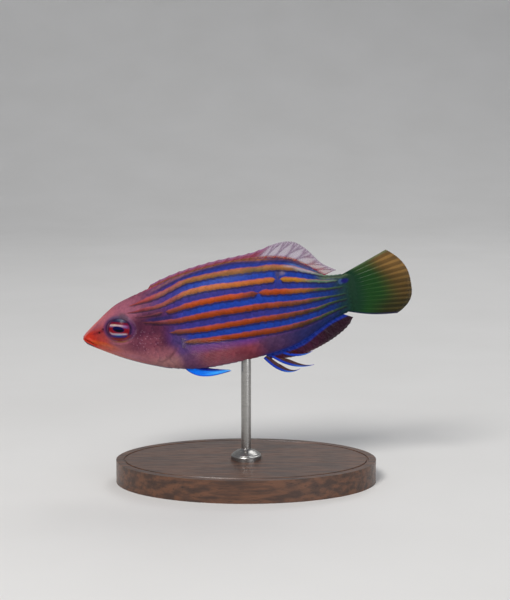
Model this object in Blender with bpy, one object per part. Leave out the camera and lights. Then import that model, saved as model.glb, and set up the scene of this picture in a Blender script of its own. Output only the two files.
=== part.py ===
"""Six-line wrasse, life size, as a still display model on a plain stand.

The fish is built in its own frame, in millimetres: x runs from the snout to the tail, y to the
fish's right, z up its back. One empty then sets it on its rod, nose a little down.
"""

import math

import bmesh
import bpy
from mathutils import Vector

# Units and the gaps between neighbouring solids
MM = 0.001
GAP = 0.3

# Pose and stand
NOSE_DOWN = math.radians(9.64)
ROD_X = 34.7
ROD_RADIUS = 1.1
ROD_TOP = 27.0
ROD_SIDES = 20
BASE_LENGTH = 58.0
BASE_WIDTH = 38.0
BASE_THICKNESS = 5.0
BASE_EDGE = 0.8
COLLAR_RADIUS = 3.4
COLLAR_HEIGHT = 1.6

# Body: where its outline turns, as x, back, belly and half of its width there
BODY_STATIONS = (
    (0.0, 0.25, -1.2, 0.75),
    (3.8, 3.0, -3.55, 2.05),
    (8.3, 5.9, -6.1, 3.5),
    (13.0, 7.4, -8.25, 4.4),
    (18.0, 8.8, -10.0, 4.9),
    (24.0, 10.1, -11.2, 5.15),
    (33.0, 11.0, -11.15, 4.9),
    (41.7, 10.9, -10.35, 4.0),
    (47.9, 9.6, -9.1, 3.05),
    (51.8, 7.3, -6.95, 2.4),
    (54.9, 4.9, -5.4, 1.95),
    (59.0, 4.35, -4.1, 1.5),
)
SNOUT_ROUND = 1.1
SNOUT_TIP = Vector((0.0, 0.0, -0.2))
FLANK_POWER = 1.12
BACK_POWER = 0.08
BODY_SIDES = 36
HEAD_END = 21.4
TORSO_END = 52.2
STALK_END = 59.0
RING_PITCH = 1.1
LIP_PITCH = 0.35

# Mouth, nostrils and lips
MOUTH_CORNER = (2.4, -1.75)
MOUTH_FRONT = (-0.5, 0.35)
MOUTH_SLIT = 0.34
LIP_HEIGHT = 0.75
LIP_SWELL = 0.28
LIP_REACH = 3.2
LIP_FADE = 0.8
NOSTRILS = ((4.1, 0.7), (5.0, 1.35))
NOSTRIL_RADIUS = 0.26
NOSTRIL_DEPTH = 0.35

# Eyes
EYE_X = 8.6
EYE_Z = 0.9
EYE_RADIUS = 2.65
EYE_HALF_DEPTH = 1.45
EYE_PROUD = 0.35

# Gill covers: an oval plate whose rear edge reaches back to the shoulder
COVER_CENTRE = (15.6, -2.9)
COVER_REAR = 5.2
COVER_FRONT = 2.7
COVER_UP = 5.6
COVER_DOWN = 4.9
COVER_THICKNESS = 1.1
COVER_POINTS = 28
COVER_CUT = (0.5, 9.0)

# Fins: a membrane with its rays raised in both faces
MEMBRANE = 0.5
RAY_RISE = 0.14
RIM = 0.3

DORSAL_START = 15.6
DORSAL_SPINES_END = 41.0
DORSAL_END = 54.4
DORSAL_SPINES = 9
DORSAL_RAYS = 11
DORSAL_MARGIN = (
    (15.6, 8.6),
    (18.5, 9.7),
    (24.0, 11.0),
    (31.0, 11.9),
    (40.0, 12.4),
    (46.0, 13.5),
    (49.5, 13.1),
    (52.0, 11.0),
    (54.5, 7.7),
    (57.5, 5.5),
)
DORSAL_LEAN = (1.2, 4.4)

ANAL_START = 38.8
ANAL_END = 57.0
ANAL_RAYS = 12
ANAL_MARGIN = (
    (40.2, -11.6),
    (45.0, -12.1),
    (49.4, -11.4),
    (53.2, -10.1),
    (56.5, -8.5),
    (58.7, -6.8),
    (59.6, -5.5),
)
# The three spines' free tips, as root, bend and tip of each one's curve
ANAL_SPINES = (
    ((38.6, -11.3), (42.2, -16.6), (46.2, -15.0)),
    ((40.4, -11.3), (44.5, -15.2), (49.4, -14.6)),
    ((43.0, -11.0), (46.5, -12.9), (49.6, -11.5)),
)
SPINE_WIDTH = 1.0

CAUDAL_RAYS = 13
CAUDAL_ROOT = (-4.0, 4.25)
CAUDAL_ROOT_THICKNESS = 2.6
CAUDAL_TIP_X = 73.4
CAUDAL_UPPER_CORNER = (69.0, 8.1)
CAUDAL_LOWER_CORNER = (69.4, -6.2)
CAUDAL_LOWER_BOW = 0.5

PECTORAL_ROOT = (22.3, -4.0)
PECTORAL_RAYS = 12
PECTORAL_LENGTH = 14.8
PECTORAL_LIFT = 1.6
PECTORAL_CLEAR = 1.2
PECTORAL_FAN = (-8.0, -52.0)
PECTORAL_SHORTEST = 5.3

PELVIC_ROOT = (22.0, 24.0)
PELVIC_RAYS = 6
PELVIC_TIP = (31.2, -12.3)
PELVIC_BOW = 1.15


def material(name, colour, roughness, metallic=0.0):
    """One Principled material with its viewport colour alike."""
    mat = bpy.data.materials.new(name)
    mat.use_nodes = True
    shader = mat.node_tree.nodes["Principled BSDF"]
    shader.inputs["Base Color"].default_value = (*colour, 1.0)
    shader.inputs["Roughness"].default_value = roughness
    shader.inputs["Metallic"].default_value = metallic
    mat.diffuse_color = (*colour, 1.0)
    return mat


def add_object(name, bm, mat, parent=None):
    """Turn a bmesh in millimetres into a named object in metres."""
    bmesh.ops.scale(bm, vec=(MM, MM, MM), verts=bm.verts)
    bmesh.ops.recalc_face_normals(bm, faces=bm.faces)
    mesh = bpy.data.meshes.new(name)
    bm.to_mesh(mesh)
    bm.free()
    mesh.shade_smooth()
    mesh.set_sharp_from_angle(angle=math.radians(35.0))
    obj = bpy.data.objects.new(name, mesh)
    obj.data.materials.append(mat)
    obj.parent = parent
    bpy.context.scene.collection.objects.link(obj)
    return obj


def smooth_through(points, x, column=1):
    """Smooth curve through the stations: a cubic whose slope at each is that of its neighbours."""
    count = len(points)
    low = 0
    while low < count - 2 and points[low + 1][0] < x:
        low += 1
    x0, x1 = points[low][0], points[low + 1][0]
    y0, y1 = points[low][column], points[low + 1][column]
    slopes = []
    for i in (low, low + 1):
        before, after = points[max(i - 1, 0)], points[min(i + 1, count - 1)]
        slopes.append((after[column] - before[column]) / (after[0] - before[0]))
    span = x1 - x0
    t = min(max((x - x0) / span, 0.0), 1.0)
    return (
        (2 * t**3 - 3 * t**2 + 1) * y0
        + (t**3 - 2 * t**2 + t) * span * slopes[0]
        + (3 * t**2 - 2 * t**3) * y1
        + (t**3 - t**2) * span * slopes[1]
    )


def snout_rounding(x):
    """How much of its size the section keeps near the tip of the snout."""
    short = max(1.0 - max(x, 0.0) / SNOUT_ROUND, 0.0)
    return math.sqrt(1.0 - short * short)


def back(x):
    """Height of the back's ridge at x."""
    return smooth_through(BODY_STATIONS, x, 1) * snout_rounding(x)


def belly(x):
    """Height of the belly's lowest line at x."""
    return smooth_through(BODY_STATIONS, x, 2) * snout_rounding(x)


def half_width(x):
    """Half of the body's greatest width at x."""
    return smooth_through(BODY_STATIONS, x, 3) * snout_rounding(x)


def flank(x, z, inset=0.0):
    """Half width of the body at height z: how far its side stands from the middle plane."""
    middle = 0.5 * (back(x) + belly(x))
    reach = (back(x) - middle if z > middle else middle - belly(x)) - inset
    level = min(max((z - middle) / reach, -1.0), 1.0)
    power = FLANK_POWER + BACK_POWER * level
    return max(half_width(x) - inset, 0.0) * (1.0 - level * level) ** (power / 2)


def mouth_line(x):
    """Height of the mouth's line at x."""
    (x0, z0), (x1, z1) = MOUTH_FRONT, MOUTH_CORNER
    return z0 + (z1 - z0) * (x - x0) / (x1 - x0)


def lip_swell(x, z):
    """Swelling of the lips on either side of the mouth's line."""
    if x > LIP_REACH:
        return 0.0
    away = abs(z - mouth_line(x)) / LIP_HEIGHT
    fade = min((LIP_REACH - x) / LIP_FADE, 1.0) * min(max(x, 0.0) / 0.5, 1.0)
    return LIP_SWELL * fade * math.exp(-((away - 0.7) ** 2) / 0.25)


def ring_at(x, inset=0.0):
    """The body's section at x, going round from the back."""
    middle = 0.5 * (back(x) + belly(x))
    ring = []
    for k in range(BODY_SIDES):
        turn = 2.0 * math.pi * k / BODY_SIDES
        c, s = math.cos(turn), math.sin(turn)
        reach = (back(x) - middle if c > 0 else middle - belly(x)) - inset
        z = middle + reach * c
        y = (half_width(x) - inset) * abs(s) ** (FLANK_POWER + BACK_POWER * c)
        y += lip_swell(x, z) * abs(s)
        ring.append(Vector((x, math.copysign(y, s), z)))
    return ring


def loft(rings, start_tip=None):
    """A closed body through rings of equal count, with fanned ends."""
    bm = bmesh.new()
    rows = [[bm.verts.new(p) for p in ring] for ring in rings]
    count = len(rows[0])
    for a, b in zip(rows, rows[1:]):
        for k in range(count):
            n = (k + 1) % count
            bm.faces.new((a[k], a[n], b[n], b[k]))
    for row, tip in ((rows[0], start_tip), (rows[-1], None)):
        middle = tip or sum((v.co for v in row), Vector()) / count
        hub = bm.verts.new(middle)
        for k in range(count):
            bm.faces.new((row[k], row[(k + 1) % count], hub))
    bmesh.ops.recalc_face_normals(bm, faces=bm.faces)
    bmesh.ops.triangulate(bm, faces=bm.faces)
    return bm


def steps(start, end, pitch):
    """Evenly spaced values from start to end, about pitch apart."""
    count = max(1, round((end - start) / pitch))
    return [start + (end - start) * i / count for i in range(count + 1)]


def boolean(target, cutter, operation):
    """Apply one Boolean with a closed cutter, and drop the cutter."""
    modifier = target.modifiers.new("cut", "BOOLEAN")
    modifier.operation = operation
    modifier.solver = "EXACT"
    modifier.object = cutter
    with bpy.context.temp_override(object=target, active_object=target):
        bpy.ops.object.modifier_apply(modifier=modifier.name)
    bpy.data.objects.remove(cutter)


def largest_shell(obj):
    """Keep only the largest closed surface of a node after its cuts and unions."""
    bm = bmesh.new()
    bm.from_mesh(obj.data)
    bmesh.ops.dissolve_degenerate(bm, dist=1e-7, edges=bm.edges)
    left = set(bm.faces)
    shells = []
    while left:
        front = [left.pop()]
        shell = list(front)
        while front:
            face = front.pop()
            for edge in face.edges:
                for other in edge.link_faces:
                    if other in left:
                        left.remove(other)
                        front.append(other)
                        shell.append(other)
        shells.append(shell)
    shells.sort(key=lambda faces: -sum(f.calc_area() for f in faces))
    for shell in shells[1:]:
        bmesh.ops.delete(bm, geom=shell, context="FACES")
    loose = [v for v in bm.verts if not v.link_faces]
    bmesh.ops.delete(bm, geom=loose, context="VERTS")
    bmesh.ops.triangulate(bm, faces=bm.faces)
    bm.to_mesh(obj.data)
    bm.free()


def fin_plate(columns):
    """A thin closed plate from columns of (point, outward normal, half thickness).

    Both faces are split into triangles the same way, so they never cross.
    """
    bm = bmesh.new()
    near = [[bm.verts.new(p + n * h) for p, n, h in column] for column in columns]
    far = [[bm.verts.new(p - n * h) for p, n, h in column] for column in columns]
    last_column, last_row = len(columns) - 1, len(columns[0]) - 1
    for i in range(last_column):
        for j in range(last_row):
            a, b, c, d = (i, j), (i + 1, j), (i + 1, j + 1), (i, j + 1)
            for tri in ((a, b, c), (a, c, d)):
                bm.faces.new([near[p][q] for p, q in tri])
                bm.faces.new([far[p][q] for p, q in reversed(tri)])
    rim = [(i, 0) for i in range(last_column)]
    rim += [(last_column, j) for j in range(last_row)]
    rim += [(i, last_row) for i in range(last_column, 0, -1)]
    rim += [(0, j) for j in range(last_row, 0, -1)]
    for (i, j), (m, n) in zip(rim, rim[1:] + rim[:1]):
        bm.faces.new((near[m][n], near[i][j], far[i][j]))
        bm.faces.new((near[m][n], far[i][j], far[m][n]))
    return bm


def ray_columns(ray_count, place, rows, thickness=None):
    """Columns for fin_plate: one on every ray, raised, and one on the membrane between two."""
    columns = []
    total = 2 * (ray_count - 1)
    for i in range(total + 1):
        across = i / total
        on_ray = i % 2 == 0
        column = []
        for j in range(rows + 1):
            out = j / rows
            full = MEMBRANE if thickness is None else thickness(across, out)
            half = 0.5 * full + (RAY_RISE * (1.0 - 0.5 * out) if on_ray else 0.0)
            if j == rows:
                half = 0.5 * RIM
            point, normal = place(across, out, on_ray)
            column.append((point, normal, half))
        columns.append(column)
    return columns


def side_normal(x, z, inset=0.0):
    """Outward normal of the body's right side at x and z."""
    step = 0.05
    slope_x = (flank(x + step, z) - flank(x - step, z)) / (2 * step)
    slope_z = (flank(x, z + step) - flank(x, z - step)) / (2 * step)
    return Vector((-slope_x, 1.0, -slope_z)).normalized()


def to_side(vector, side):
    """Mirror a right-hand vector to the side asked for: 1 right, -1 left."""
    return Vector((vector.x, vector.y * side, vector.z))


def helper(name, bm):
    """A temporary solid for a Boolean."""
    return add_object(name, bm, materials["skin"])


def prism(outline, y0, y1):
    """A closed prism of a side-view outline, from y0 to y1."""
    return loft([[Vector((x, y, z)) for x, z in outline] for y in (y0, y1)])


def inner_body(inset):
    """The body's own shape drawn in by inset, which limits how deep the gill covers go."""
    start, end = COVER_CENTRE[0] - COVER_FRONT - 3.0, COVER_CENTRE[0] + COVER_REAR + 3.0
    return loft([ring_at(x, inset) for x in steps(start, end, RING_PITCH)])


def cover_outline(grow):
    """The gill cover's outline from the side, grown by the gap for its seat."""
    points = []
    for k in range(COVER_POINTS):
        turn = 2.0 * math.pi * k / COVER_POINTS
        c, s = math.cos(turn), math.sin(turn)
        x = COVER_CENTRE[0] + ((COVER_REAR if c > 0 else COVER_FRONT) + grow) * c
        z = COVER_CENTRE[1] + ((COVER_UP if s > 0 else COVER_DOWN) + grow) * s
        points.append((x, z))
    return points


def eye_frame(side):
    """Centre and outward axis of an eye."""
    axis = to_side(side_normal(EYE_X, EYE_Z), side)
    surface = Vector((EYE_X, side * flank(EYE_X, EYE_Z), EYE_Z))
    return surface + axis * (EYE_PROUD - EYE_HALF_DEPTH), axis


def eye_solid(side, grow=0.0):
    """A flattened ball whose short axis points out of the head."""
    bm = bmesh.new()
    bmesh.ops.create_uvsphere(bm, u_segments=24, v_segments=12, radius=1.0)
    radius, depth = EYE_RADIUS + grow, EYE_HALF_DEPTH + grow
    bmesh.ops.scale(bm, vec=(radius, radius, depth), verts=bm.verts)
    centre, axis = eye_frame(side)
    turn = axis.to_track_quat("Z", "X").to_matrix().to_4x4()
    bmesh.ops.transform(bm, matrix=turn, verts=bm.verts)
    bmesh.ops.translate(bm, vec=centre, verts=bm.verts)
    bmesh.ops.triangulate(bm, faces=bm.faces)
    return bm


def nostril_cutter(x, z, side):
    """A small pit cut square to the skin."""
    bm = bmesh.new()
    bmesh.ops.create_cone(
        bm,
        cap_ends=True,
        segments=8,
        radius1=0.6 * NOSTRIL_RADIUS,
        radius2=NOSTRIL_RADIUS,
        depth=2 * NOSTRIL_DEPTH,
    )
    axis = to_side(side_normal(x, z), side)
    turn = axis.to_track_quat("Z", "X").to_matrix().to_4x4()
    bmesh.ops.transform(bm, matrix=turn, verts=bm.verts)
    bmesh.ops.translate(bm, vec=Vector((x, side * flank(x, z), z)), verts=bm.verts)
    return bm


def mouth_cutter():
    """A thin slab along the mouth's line, from in front of the snout to the mouth's corner."""
    (x0, z0), (x1, z1) = MOUTH_FRONT, MOUTH_CORNER
    along = Vector((x1 - x0, 0.0, z1 - z0)).normalized()
    up = Vector((-along.z, 0.0, along.x)) * (0.5 * MOUTH_SLIT)
    front = Vector((x0, 0.0, z0)) - along
    corner = Vector((x1, 0.0, z1))
    outline = [front + up, front - up, corner - 0.5 * up, corner + 0.5 * up]
    return prism([(p.x, p.z) for p in outline], -4.0, 4.0)


def make_head(parent):
    """The head up to the shoulder, with its mouth, lips, nostrils, eye sockets and gill seats."""
    xs = [SNOUT_ROUND * f for f in (0.03, 0.12, 0.28, 0.5, 0.75)]
    xs += steps(SNOUT_ROUND, LIP_REACH, LIP_PITCH)
    xs += steps(LIP_REACH, HEAD_END, RING_PITCH)[1:]
    body = loft([ring_at(x) for x in xs], SNOUT_TIP)
    head = add_object("head", body, materials["skin"], parent)
    cutters = [mouth_cutter()]
    for side in (-1, 1):
        cutters.append(eye_solid(side, GAP))
        cutters += [nostril_cutter(x, z, side) for x, z in NOSTRILS]
    for cutter in cutters:
        tool = helper("cutter", cutter)
        tool.parent = parent
        boolean(head, tool, "DIFFERENCE")
    for side in (-1, 1):
        seat = helper("seat", prism(cover_outline(GAP), side * COVER_CUT[0], side * COVER_CUT[1]))
        core = helper("core", inner_body(COVER_THICKNESS + GAP))
        seat.parent = core.parent = parent
        boolean(seat, core, "DIFFERENCE")
        boolean(head, seat, "DIFFERENCE")
    largest_shell(head)
    return head


def make_gill_cover(name, side, parent):
    """The plate over the gills, flush with the cheek."""
    start, end = COVER_CENTRE[0] - COVER_FRONT - 2.0, COVER_CENTRE[0] + COVER_REAR + 2.0
    rings = [ring_at(x) for x in steps(start, end, RING_PITCH)]
    cover = add_object(name, loft(rings), materials["skin"], parent)
    plate = helper("plate", prism(cover_outline(0.0), side * COVER_CUT[0], side * COVER_CUT[1]))
    core = helper("core", inner_body(COVER_THICKNESS))
    plate.parent = core.parent = parent
    boolean(cover, plate, "INTERSECT")
    boolean(cover, core, "DIFFERENCE")
    largest_shell(cover)
    return cover


def make_torso(parent):
    """The trunk, from the shoulder to where the body narrows to its stalk."""
    rings = [ring_at(x) for x in steps(HEAD_END + GAP, TORSO_END, RING_PITCH)]
    return add_object("torso", loft(rings), materials["flank"], parent)


def make_tail_stalk(parent):
    """The narrow stalk that carries the tail fin."""
    rings = [ring_at(x) for x in steps(TORSO_END + GAP, STALK_END, RING_PITCH)]
    return add_object("tail_stalk", loft(rings), materials["flank"], parent)


def make_dorsal_fin(parent):
    """Nine spines and eleven soft rays, folded back along the body."""
    count = DORSAL_SPINES + DORSAL_RAYS

    def place(across, out, on_ray):
        root = DORSAL_START + (DORSAL_END - DORSAL_START) * across
        tip = root + DORSAL_LEAN[0] + (DORSAL_LEAN[1] - DORSAL_LEAN[0]) * min(across / 0.8, 1.0)
        tip = min(tip, DORSAL_MARGIN[-1][0] - 0.6 * (1.0 - across))
        low = back(root) + GAP
        reach = out if on_ray or root > DORSAL_SPINES_END else 0.78 * out
        x = root + (tip - root) * reach
        z = low + (smooth_through(DORSAL_MARGIN, tip) - low) * reach
        return Vector((x, 0.0, max(z, back(x) + GAP))), Vector((0, 1, 0))

    return add_object("dorsal_fin", fin_plate(ray_columns(count, place, 4)), materials["back_fin"], parent)


def bend(curve, t):
    """Point on a curve through its root and tip, drawn towards its middle point."""
    root, middle, tip = (Vector((x, 0.0, z)) for x, z in curve)
    return (1 - t) ** 2 * root + 2 * t * (1 - t) * middle + t * t * tip


def anal_spine(curve):
    """A spine with the strip of membrane behind it, free at the tip."""
    columns = []
    for across, thick in ((0.0, 0.32), (0.3, 0.36), (1.0, 0.22)):
        column = []
        for j in range(9):
            t = j / 8
            centre = bend(curve, t)
            along = (bend(curve, min(t + 0.02, 1.0)) - bend(curve, max(t - 0.02, 0.0))).normalized()
            inward = Vector((-along.z, 0.0, along.x))
            width = SPINE_WIDTH * (1.0 - 0.75 * t**3)
            column.append((centre + inward * width * across, Vector((0, 1, 0)), thick * (1.0 - 0.45 * t)))
        columns.append(column)
    return fin_plate(columns)


def make_anal_fin(parent):
    """Soft rays folded back along the belly, behind three spines with free, curved tips."""

    def place(across, out, on_ray):
        root = ANAL_START + (ANAL_END - ANAL_START) * across
        tip = ANAL_MARGIN[0][0] + (ANAL_MARGIN[-1][0] - ANAL_MARGIN[0][0]) * across
        low = belly(root) - GAP
        x = root + (tip - root) * out
        z = low + (smooth_through(ANAL_MARGIN, tip) - low) * out
        return Vector((x, 0.0, min(z, belly(x) - GAP))), Vector((0, 1, 0))

    columns = ray_columns(ANAL_RAYS, place, 3)
    fin = add_object("anal_fin", fin_plate(columns), materials["anal_fin"], parent)
    for curve in ANAL_SPINES:
        spine = helper("spine", anal_spine(curve))
        spine.parent = parent
        boolean(fin, spine, "UNION")
    largest_shell(fin)
    return fin


def caudal_tip(u):
    """Where a caudal ray ends: u runs from -1 at the lower edge to 1 at the upper."""
    corner_x, corner_z = CAUDAL_UPPER_CORNER if u > 0 else CAUDAL_LOWER_CORNER
    power = 2.4 if u > 0 else 3.0
    return CAUDAL_TIP_X - (CAUDAL_TIP_X - corner_x) * abs(u) ** power, corner_z * abs(u) ** 0.95


def make_caudal_fin(parent):
    """The tail fin, fleshy where it leaves the stalk, with thirteen rays."""
    root_x = STALK_END + GAP

    def thickness(across, out):
        u = 2.0 * across - 1.0
        flesh = (CAUDAL_ROOT_THICKNESS - MEMBRANE) * math.sqrt(max(1.0 - 0.9 * u * u, 0.0))
        return MEMBRANE + flesh * max(1.0 - out / 0.25, 0.0) ** 1.3

    def place(across, out, on_ray):
        u = 2.0 * across - 1.0
        tip_x, tip_z = caudal_tip(u)
        root_z = CAUDAL_ROOT[0] + (CAUDAL_ROOT[1] - CAUDAL_ROOT[0]) * across
        x = root_x + (tip_x - root_x) * out
        z = root_z + (tip_z - root_z) * out
        z -= CAUDAL_LOWER_BOW * math.sin(math.pi * out) * max(-u, 0.0) ** 3
        return Vector((x, 0.0, z)), Vector((0, 1, 0))

    columns = ray_columns(CAUDAL_RAYS, place, 10, thickness)
    return add_object("caudal_fin", fin_plate(columns), materials["tail_fin"], parent)


def make_pectoral_fin(name, side, parent):
    """A clear fan laid back along the flank."""

    def place(across, out, on_ray):
        angle = math.radians(PECTORAL_FAN[0] + (PECTORAL_FAN[1] - PECTORAL_FAN[0]) * across)
        length = PECTORAL_LENGTH * (1.0 - 0.1 * (1.0 - across) ** 6)
        length -= (PECTORAL_LENGTH - PECTORAL_SHORTEST) * across**1.9
        root_z = PECTORAL_ROOT[1] + 1.0 - 2.0 * across
        x = PECTORAL_ROOT[0] + length * out * math.cos(angle)
        z = root_z + length * out * math.sin(angle)
        z = max(z, belly(x) + PECTORAL_CLEAR)
        normal = to_side(side_normal(x, z), side)
        stand_off = GAP + 0.5 * MEMBRANE + RAY_RISE + PECTORAL_LIFT * out**1.3
        surface = Vector((x, side * flank(x, z), z))
        return surface + normal * stand_off, normal

    columns = ray_columns(PECTORAL_RAYS, place, 6)
    return add_object(name, fin_plate(columns), materials["clear_fin"], parent)


def make_pelvic_fin(name, side, parent):
    """A narrow blade folded back under the belly."""

    def place(across, out, on_ray):
        root_x = PELVIC_ROOT[1] + (PELVIC_ROOT[0] - PELVIC_ROOT[1]) * across
        tip_x = PELVIC_TIP[0] - 2.0 * (1.0 - across) ** 1.5
        tip_z = PELVIC_TIP[1] + 0.45 * (1.0 - across)
        root_z = belly(root_x) - GAP - 0.1
        x = root_x + (tip_x - root_x) * out
        z = root_z + (tip_z - root_z) * out
        z -= PELVIC_BOW * math.sin(math.pi * out**0.8) * across
        y = side * (0.9 + 0.5 * across * out + 0.3 * out)
        return Vector((x, y, z)), Vector((0, side, 0.25)).normalized()

    columns = ray_columns(PELVIC_RAYS, place, 6)
    return add_object(name, fin_plate(columns), materials["belly_fin"], parent)


def make_stand():
    """An oval wooden base, and a turned metal rod that ends just under the belly."""
    bm = bmesh.new()
    bmesh.ops.create_cone(
        bm, cap_ends=True, segments=56, radius1=0.5, radius2=0.5, depth=BASE_THICKNESS
    )
    bmesh.ops.scale(bm, vec=(BASE_LENGTH, BASE_WIDTH, 1.0), verts=bm.verts)
    bmesh.ops.translate(bm, vec=(0, 0, 0.5 * BASE_THICKNESS), verts=bm.verts)
    base = add_object("stand_base", bm, materials["wood"])
    edge = base.modifiers.new("edge", "BEVEL")
    edge.width = BASE_EDGE * MM
    edge.segments = 2
    edge.limit_method = "ANGLE"

    foot = BASE_THICKNESS + GAP
    collar_top = foot + COLLAR_HEIGHT
    profile = (
        (foot, COLLAR_RADIUS),
        (foot + 0.5 * COLLAR_HEIGHT, COLLAR_RADIUS),
        (foot + 0.85 * COLLAR_HEIGHT, 0.8 * COLLAR_RADIUS),
        (collar_top, 1.6 * ROD_RADIUS),
        (collar_top + 0.5, ROD_RADIUS),
        (ROD_TOP, ROD_RADIUS),
    )
    rings = []
    for z, radius in profile:
        slope = math.tan(NOSE_DOWN) if z == ROD_TOP else 0.0
        ring = []
        for k in range(ROD_SIDES):
            turn = 2.0 * math.pi * k / ROD_SIDES
            x, y = radius * math.cos(turn), radius * math.sin(turn)
            ring.append(Vector((x, y, z + slope * x)))
        rings.append(ring)
    add_object("stand_rod", loft(rings), materials["metal"])


def make_pose():
    """The empty that carries the fish: the belly over the rod stands one gap above its end."""
    pose = bpy.data.objects.new("fish_pose", None)
    bpy.context.scene.collection.objects.link(pose)
    c, s = math.cos(NOSE_DOWN), math.sin(NOSE_DOWN)
    z = belly(ROD_X)
    pose.location = (-(ROD_X * c - z * s) * MM, 0.0, (ROD_TOP + GAP - (ROD_X * s + z * c)) * MM)
    pose.rotation_euler = (0.0, -NOSE_DOWN, 0.0)
    return pose


for old in list(bpy.data.objects):
    bpy.data.objects.remove(old)

materials = {
    "skin": material("head_skin", (0.62, 0.28, 0.26), 0.4),
    "flank": material("flank_skin", (0.12, 0.13, 0.52), 0.4),
    "eye": material("eye", (0.45, 0.06, 0.05), 0.12),
    "back_fin": material("back_fin", (0.66, 0.29, 0.46), 0.45),
    "anal_fin": material("anal_fin", (0.28, 0.12, 0.24), 0.45),
    "tail_fin": material("tail_fin", (0.12, 0.32, 0.12), 0.45),
    "clear_fin": material("clear_fin", (0.62, 0.5, 0.58), 0.35),
    "belly_fin": material("belly_fin", (0.1, 0.45, 0.95), 0.35),
    "wood": material("dark_wood", (0.09, 0.05, 0.035), 0.5),
    "metal": material("rod_metal", (0.55, 0.54, 0.52), 0.35, 1.0),
}

fish = make_pose()
make_head(fish)
make_torso(fish)
make_tail_stalk(fish)
for word, hand in (("left", -1), ("right", 1)):
    make_gill_cover(f"gill_cover_{word}", hand, fish)
    add_object(f"eye_{word}", eye_solid(hand), materials["eye"], fish)
    make_pectoral_fin(f"pectoral_fin_{word}", hand, fish)
    make_pelvic_fin(f"pelvic_fin_{word}", hand, fish)
make_dorsal_fin(fish)
make_anal_fin(fish)
make_caudal_fin(fish)
make_stand()
bpy.context.view_layer.update()
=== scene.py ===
"""Six-line wrasse, life size: the finished looks of the still model and its stand.

The fish is shaped in its own frame, in millimetres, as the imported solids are: x runs from the
snout to the tail, y to the fish's right, z up its back. Then it is set on its rod, nose down.
"""

import math

import bpy
import numpy as np
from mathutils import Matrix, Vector


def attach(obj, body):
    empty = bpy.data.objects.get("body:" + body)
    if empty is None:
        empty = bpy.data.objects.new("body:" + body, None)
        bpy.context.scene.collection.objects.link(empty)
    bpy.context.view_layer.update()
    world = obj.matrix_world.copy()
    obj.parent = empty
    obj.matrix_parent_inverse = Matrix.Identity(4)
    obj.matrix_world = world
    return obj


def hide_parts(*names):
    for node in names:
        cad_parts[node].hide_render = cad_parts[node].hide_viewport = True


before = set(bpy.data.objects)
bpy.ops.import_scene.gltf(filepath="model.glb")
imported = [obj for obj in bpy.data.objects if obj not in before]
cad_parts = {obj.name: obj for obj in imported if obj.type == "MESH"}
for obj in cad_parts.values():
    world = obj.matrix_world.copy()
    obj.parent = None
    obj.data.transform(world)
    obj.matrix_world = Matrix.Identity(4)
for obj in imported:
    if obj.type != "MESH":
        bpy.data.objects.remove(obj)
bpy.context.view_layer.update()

# Units, pose and stand, as the solids have them
MM = 0.001
GAP = 0.3
NOSE_DOWN = math.radians(9.64)
ROD_X = 34.7
ROD_TOP = 27.0
ROD_RADIUS = 1.1
BASE_LENGTH = 58.0
BASE_WIDTH = 38.0
BASE_THICKNESS = 5.0
COLLAR_RADIUS = 3.4
COLLAR_HEIGHT = 1.6
BASE_ROUND = 0.8
# The groove in the base's top, as steps from the edge inwards: width and rise of each
BASE_GROOVE = ((1.6, 0.0), (0.12, -0.22), (0.3, 0.0), (0.12, 0.22), (6.0, 0.0))
# The rod's foot and collar: share of the collar's height, and what the radius loses there
COLLAR_STEPS = ((0.0, 0.0), (0.5, 0.0), (0.62, 0.12), (0.68, 0.35), (0.8, 0.42))
# The rod above its collar: height over the collar's top, and radius as a share of the rod's
ROD_STEPS = ((-0.15, 2.0), (0.0, 1.6), (0.2, 1.2), (0.5, 1.0))

# Body: x, and the back, the belly and half of the width there
BODY_STATIONS = (
    (0.0, 0.25, -1.2, 0.75), (3.8, 3.0, -3.55, 2.05), (8.3, 5.9, -6.1, 3.5),
    (13.0, 7.4, -8.25, 4.4), (18.0, 8.8, -10.0, 4.9), (24.0, 10.1, -11.2, 5.15),
    (33.0, 11.0, -11.15, 4.9), (41.7, 10.9, -10.35, 4.0), (47.9, 9.6, -9.1, 3.05),
    (51.8, 7.3, -6.95, 2.4), (54.9, 4.9, -5.4, 1.95), (59.0, 4.35, -4.1, 1.5),
)
SNOUT_ROUND = 1.1
SNOUT_TIP_Z = -0.2
FLANK_POWER = 1.12
BACK_POWER = 0.08
STALK_END = 59.0
SKIN_END = 62.8
SKIN_AROUND = 192

# Mouth, lips and nostrils
MOUTH_CORNER = (2.4, -1.75)
MOUTH_FRONT = (-0.5, 0.35)
LIP_HEIGHT = 0.75
LIP_SWELL = 0.28
LIP_REACH = 3.2
LIP_FADE = 0.8
MOUTH_DEPTH = 0.3
MOUTH_SLIT = 0.1
NOSTRILS = ((4.1, 0.7), (5.0, 1.35))
# Rings on the skin: how far from the middle, how high and half how wide
NOSTRIL_RIM = (0.3, 0.09, 0.1)
NOSTRIL_HOLE = (0.0, -0.34, 0.17)

# Eyes and their orbits
EYE_X = 8.6
EYE_Z = 0.9
EYE_RADIUS = 2.65
EYE_PROUD = 0.42
EYE_FALL = 0.8
EYE_BACK = 1.5
EYE_OVAL = 1.28
EYE_RISE = 0.12
ORBIT_RIDGE = (3.05, 0.13, 0.3)
ORBIT_GROOVE = (3.8, -0.07, 0.35)
SOCKET_DEPTH = 1.7
SOCKET_WALL = (2.72, 2.2)

# Gill cover, an oval whose rear edge stands over the shoulder
COVER_CENTRE = (15.6, -2.9)
COVER_REAR = 5.2
COVER_FRONT = 2.7
COVER_UP = 5.6
COVER_DOWN = 4.9
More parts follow.
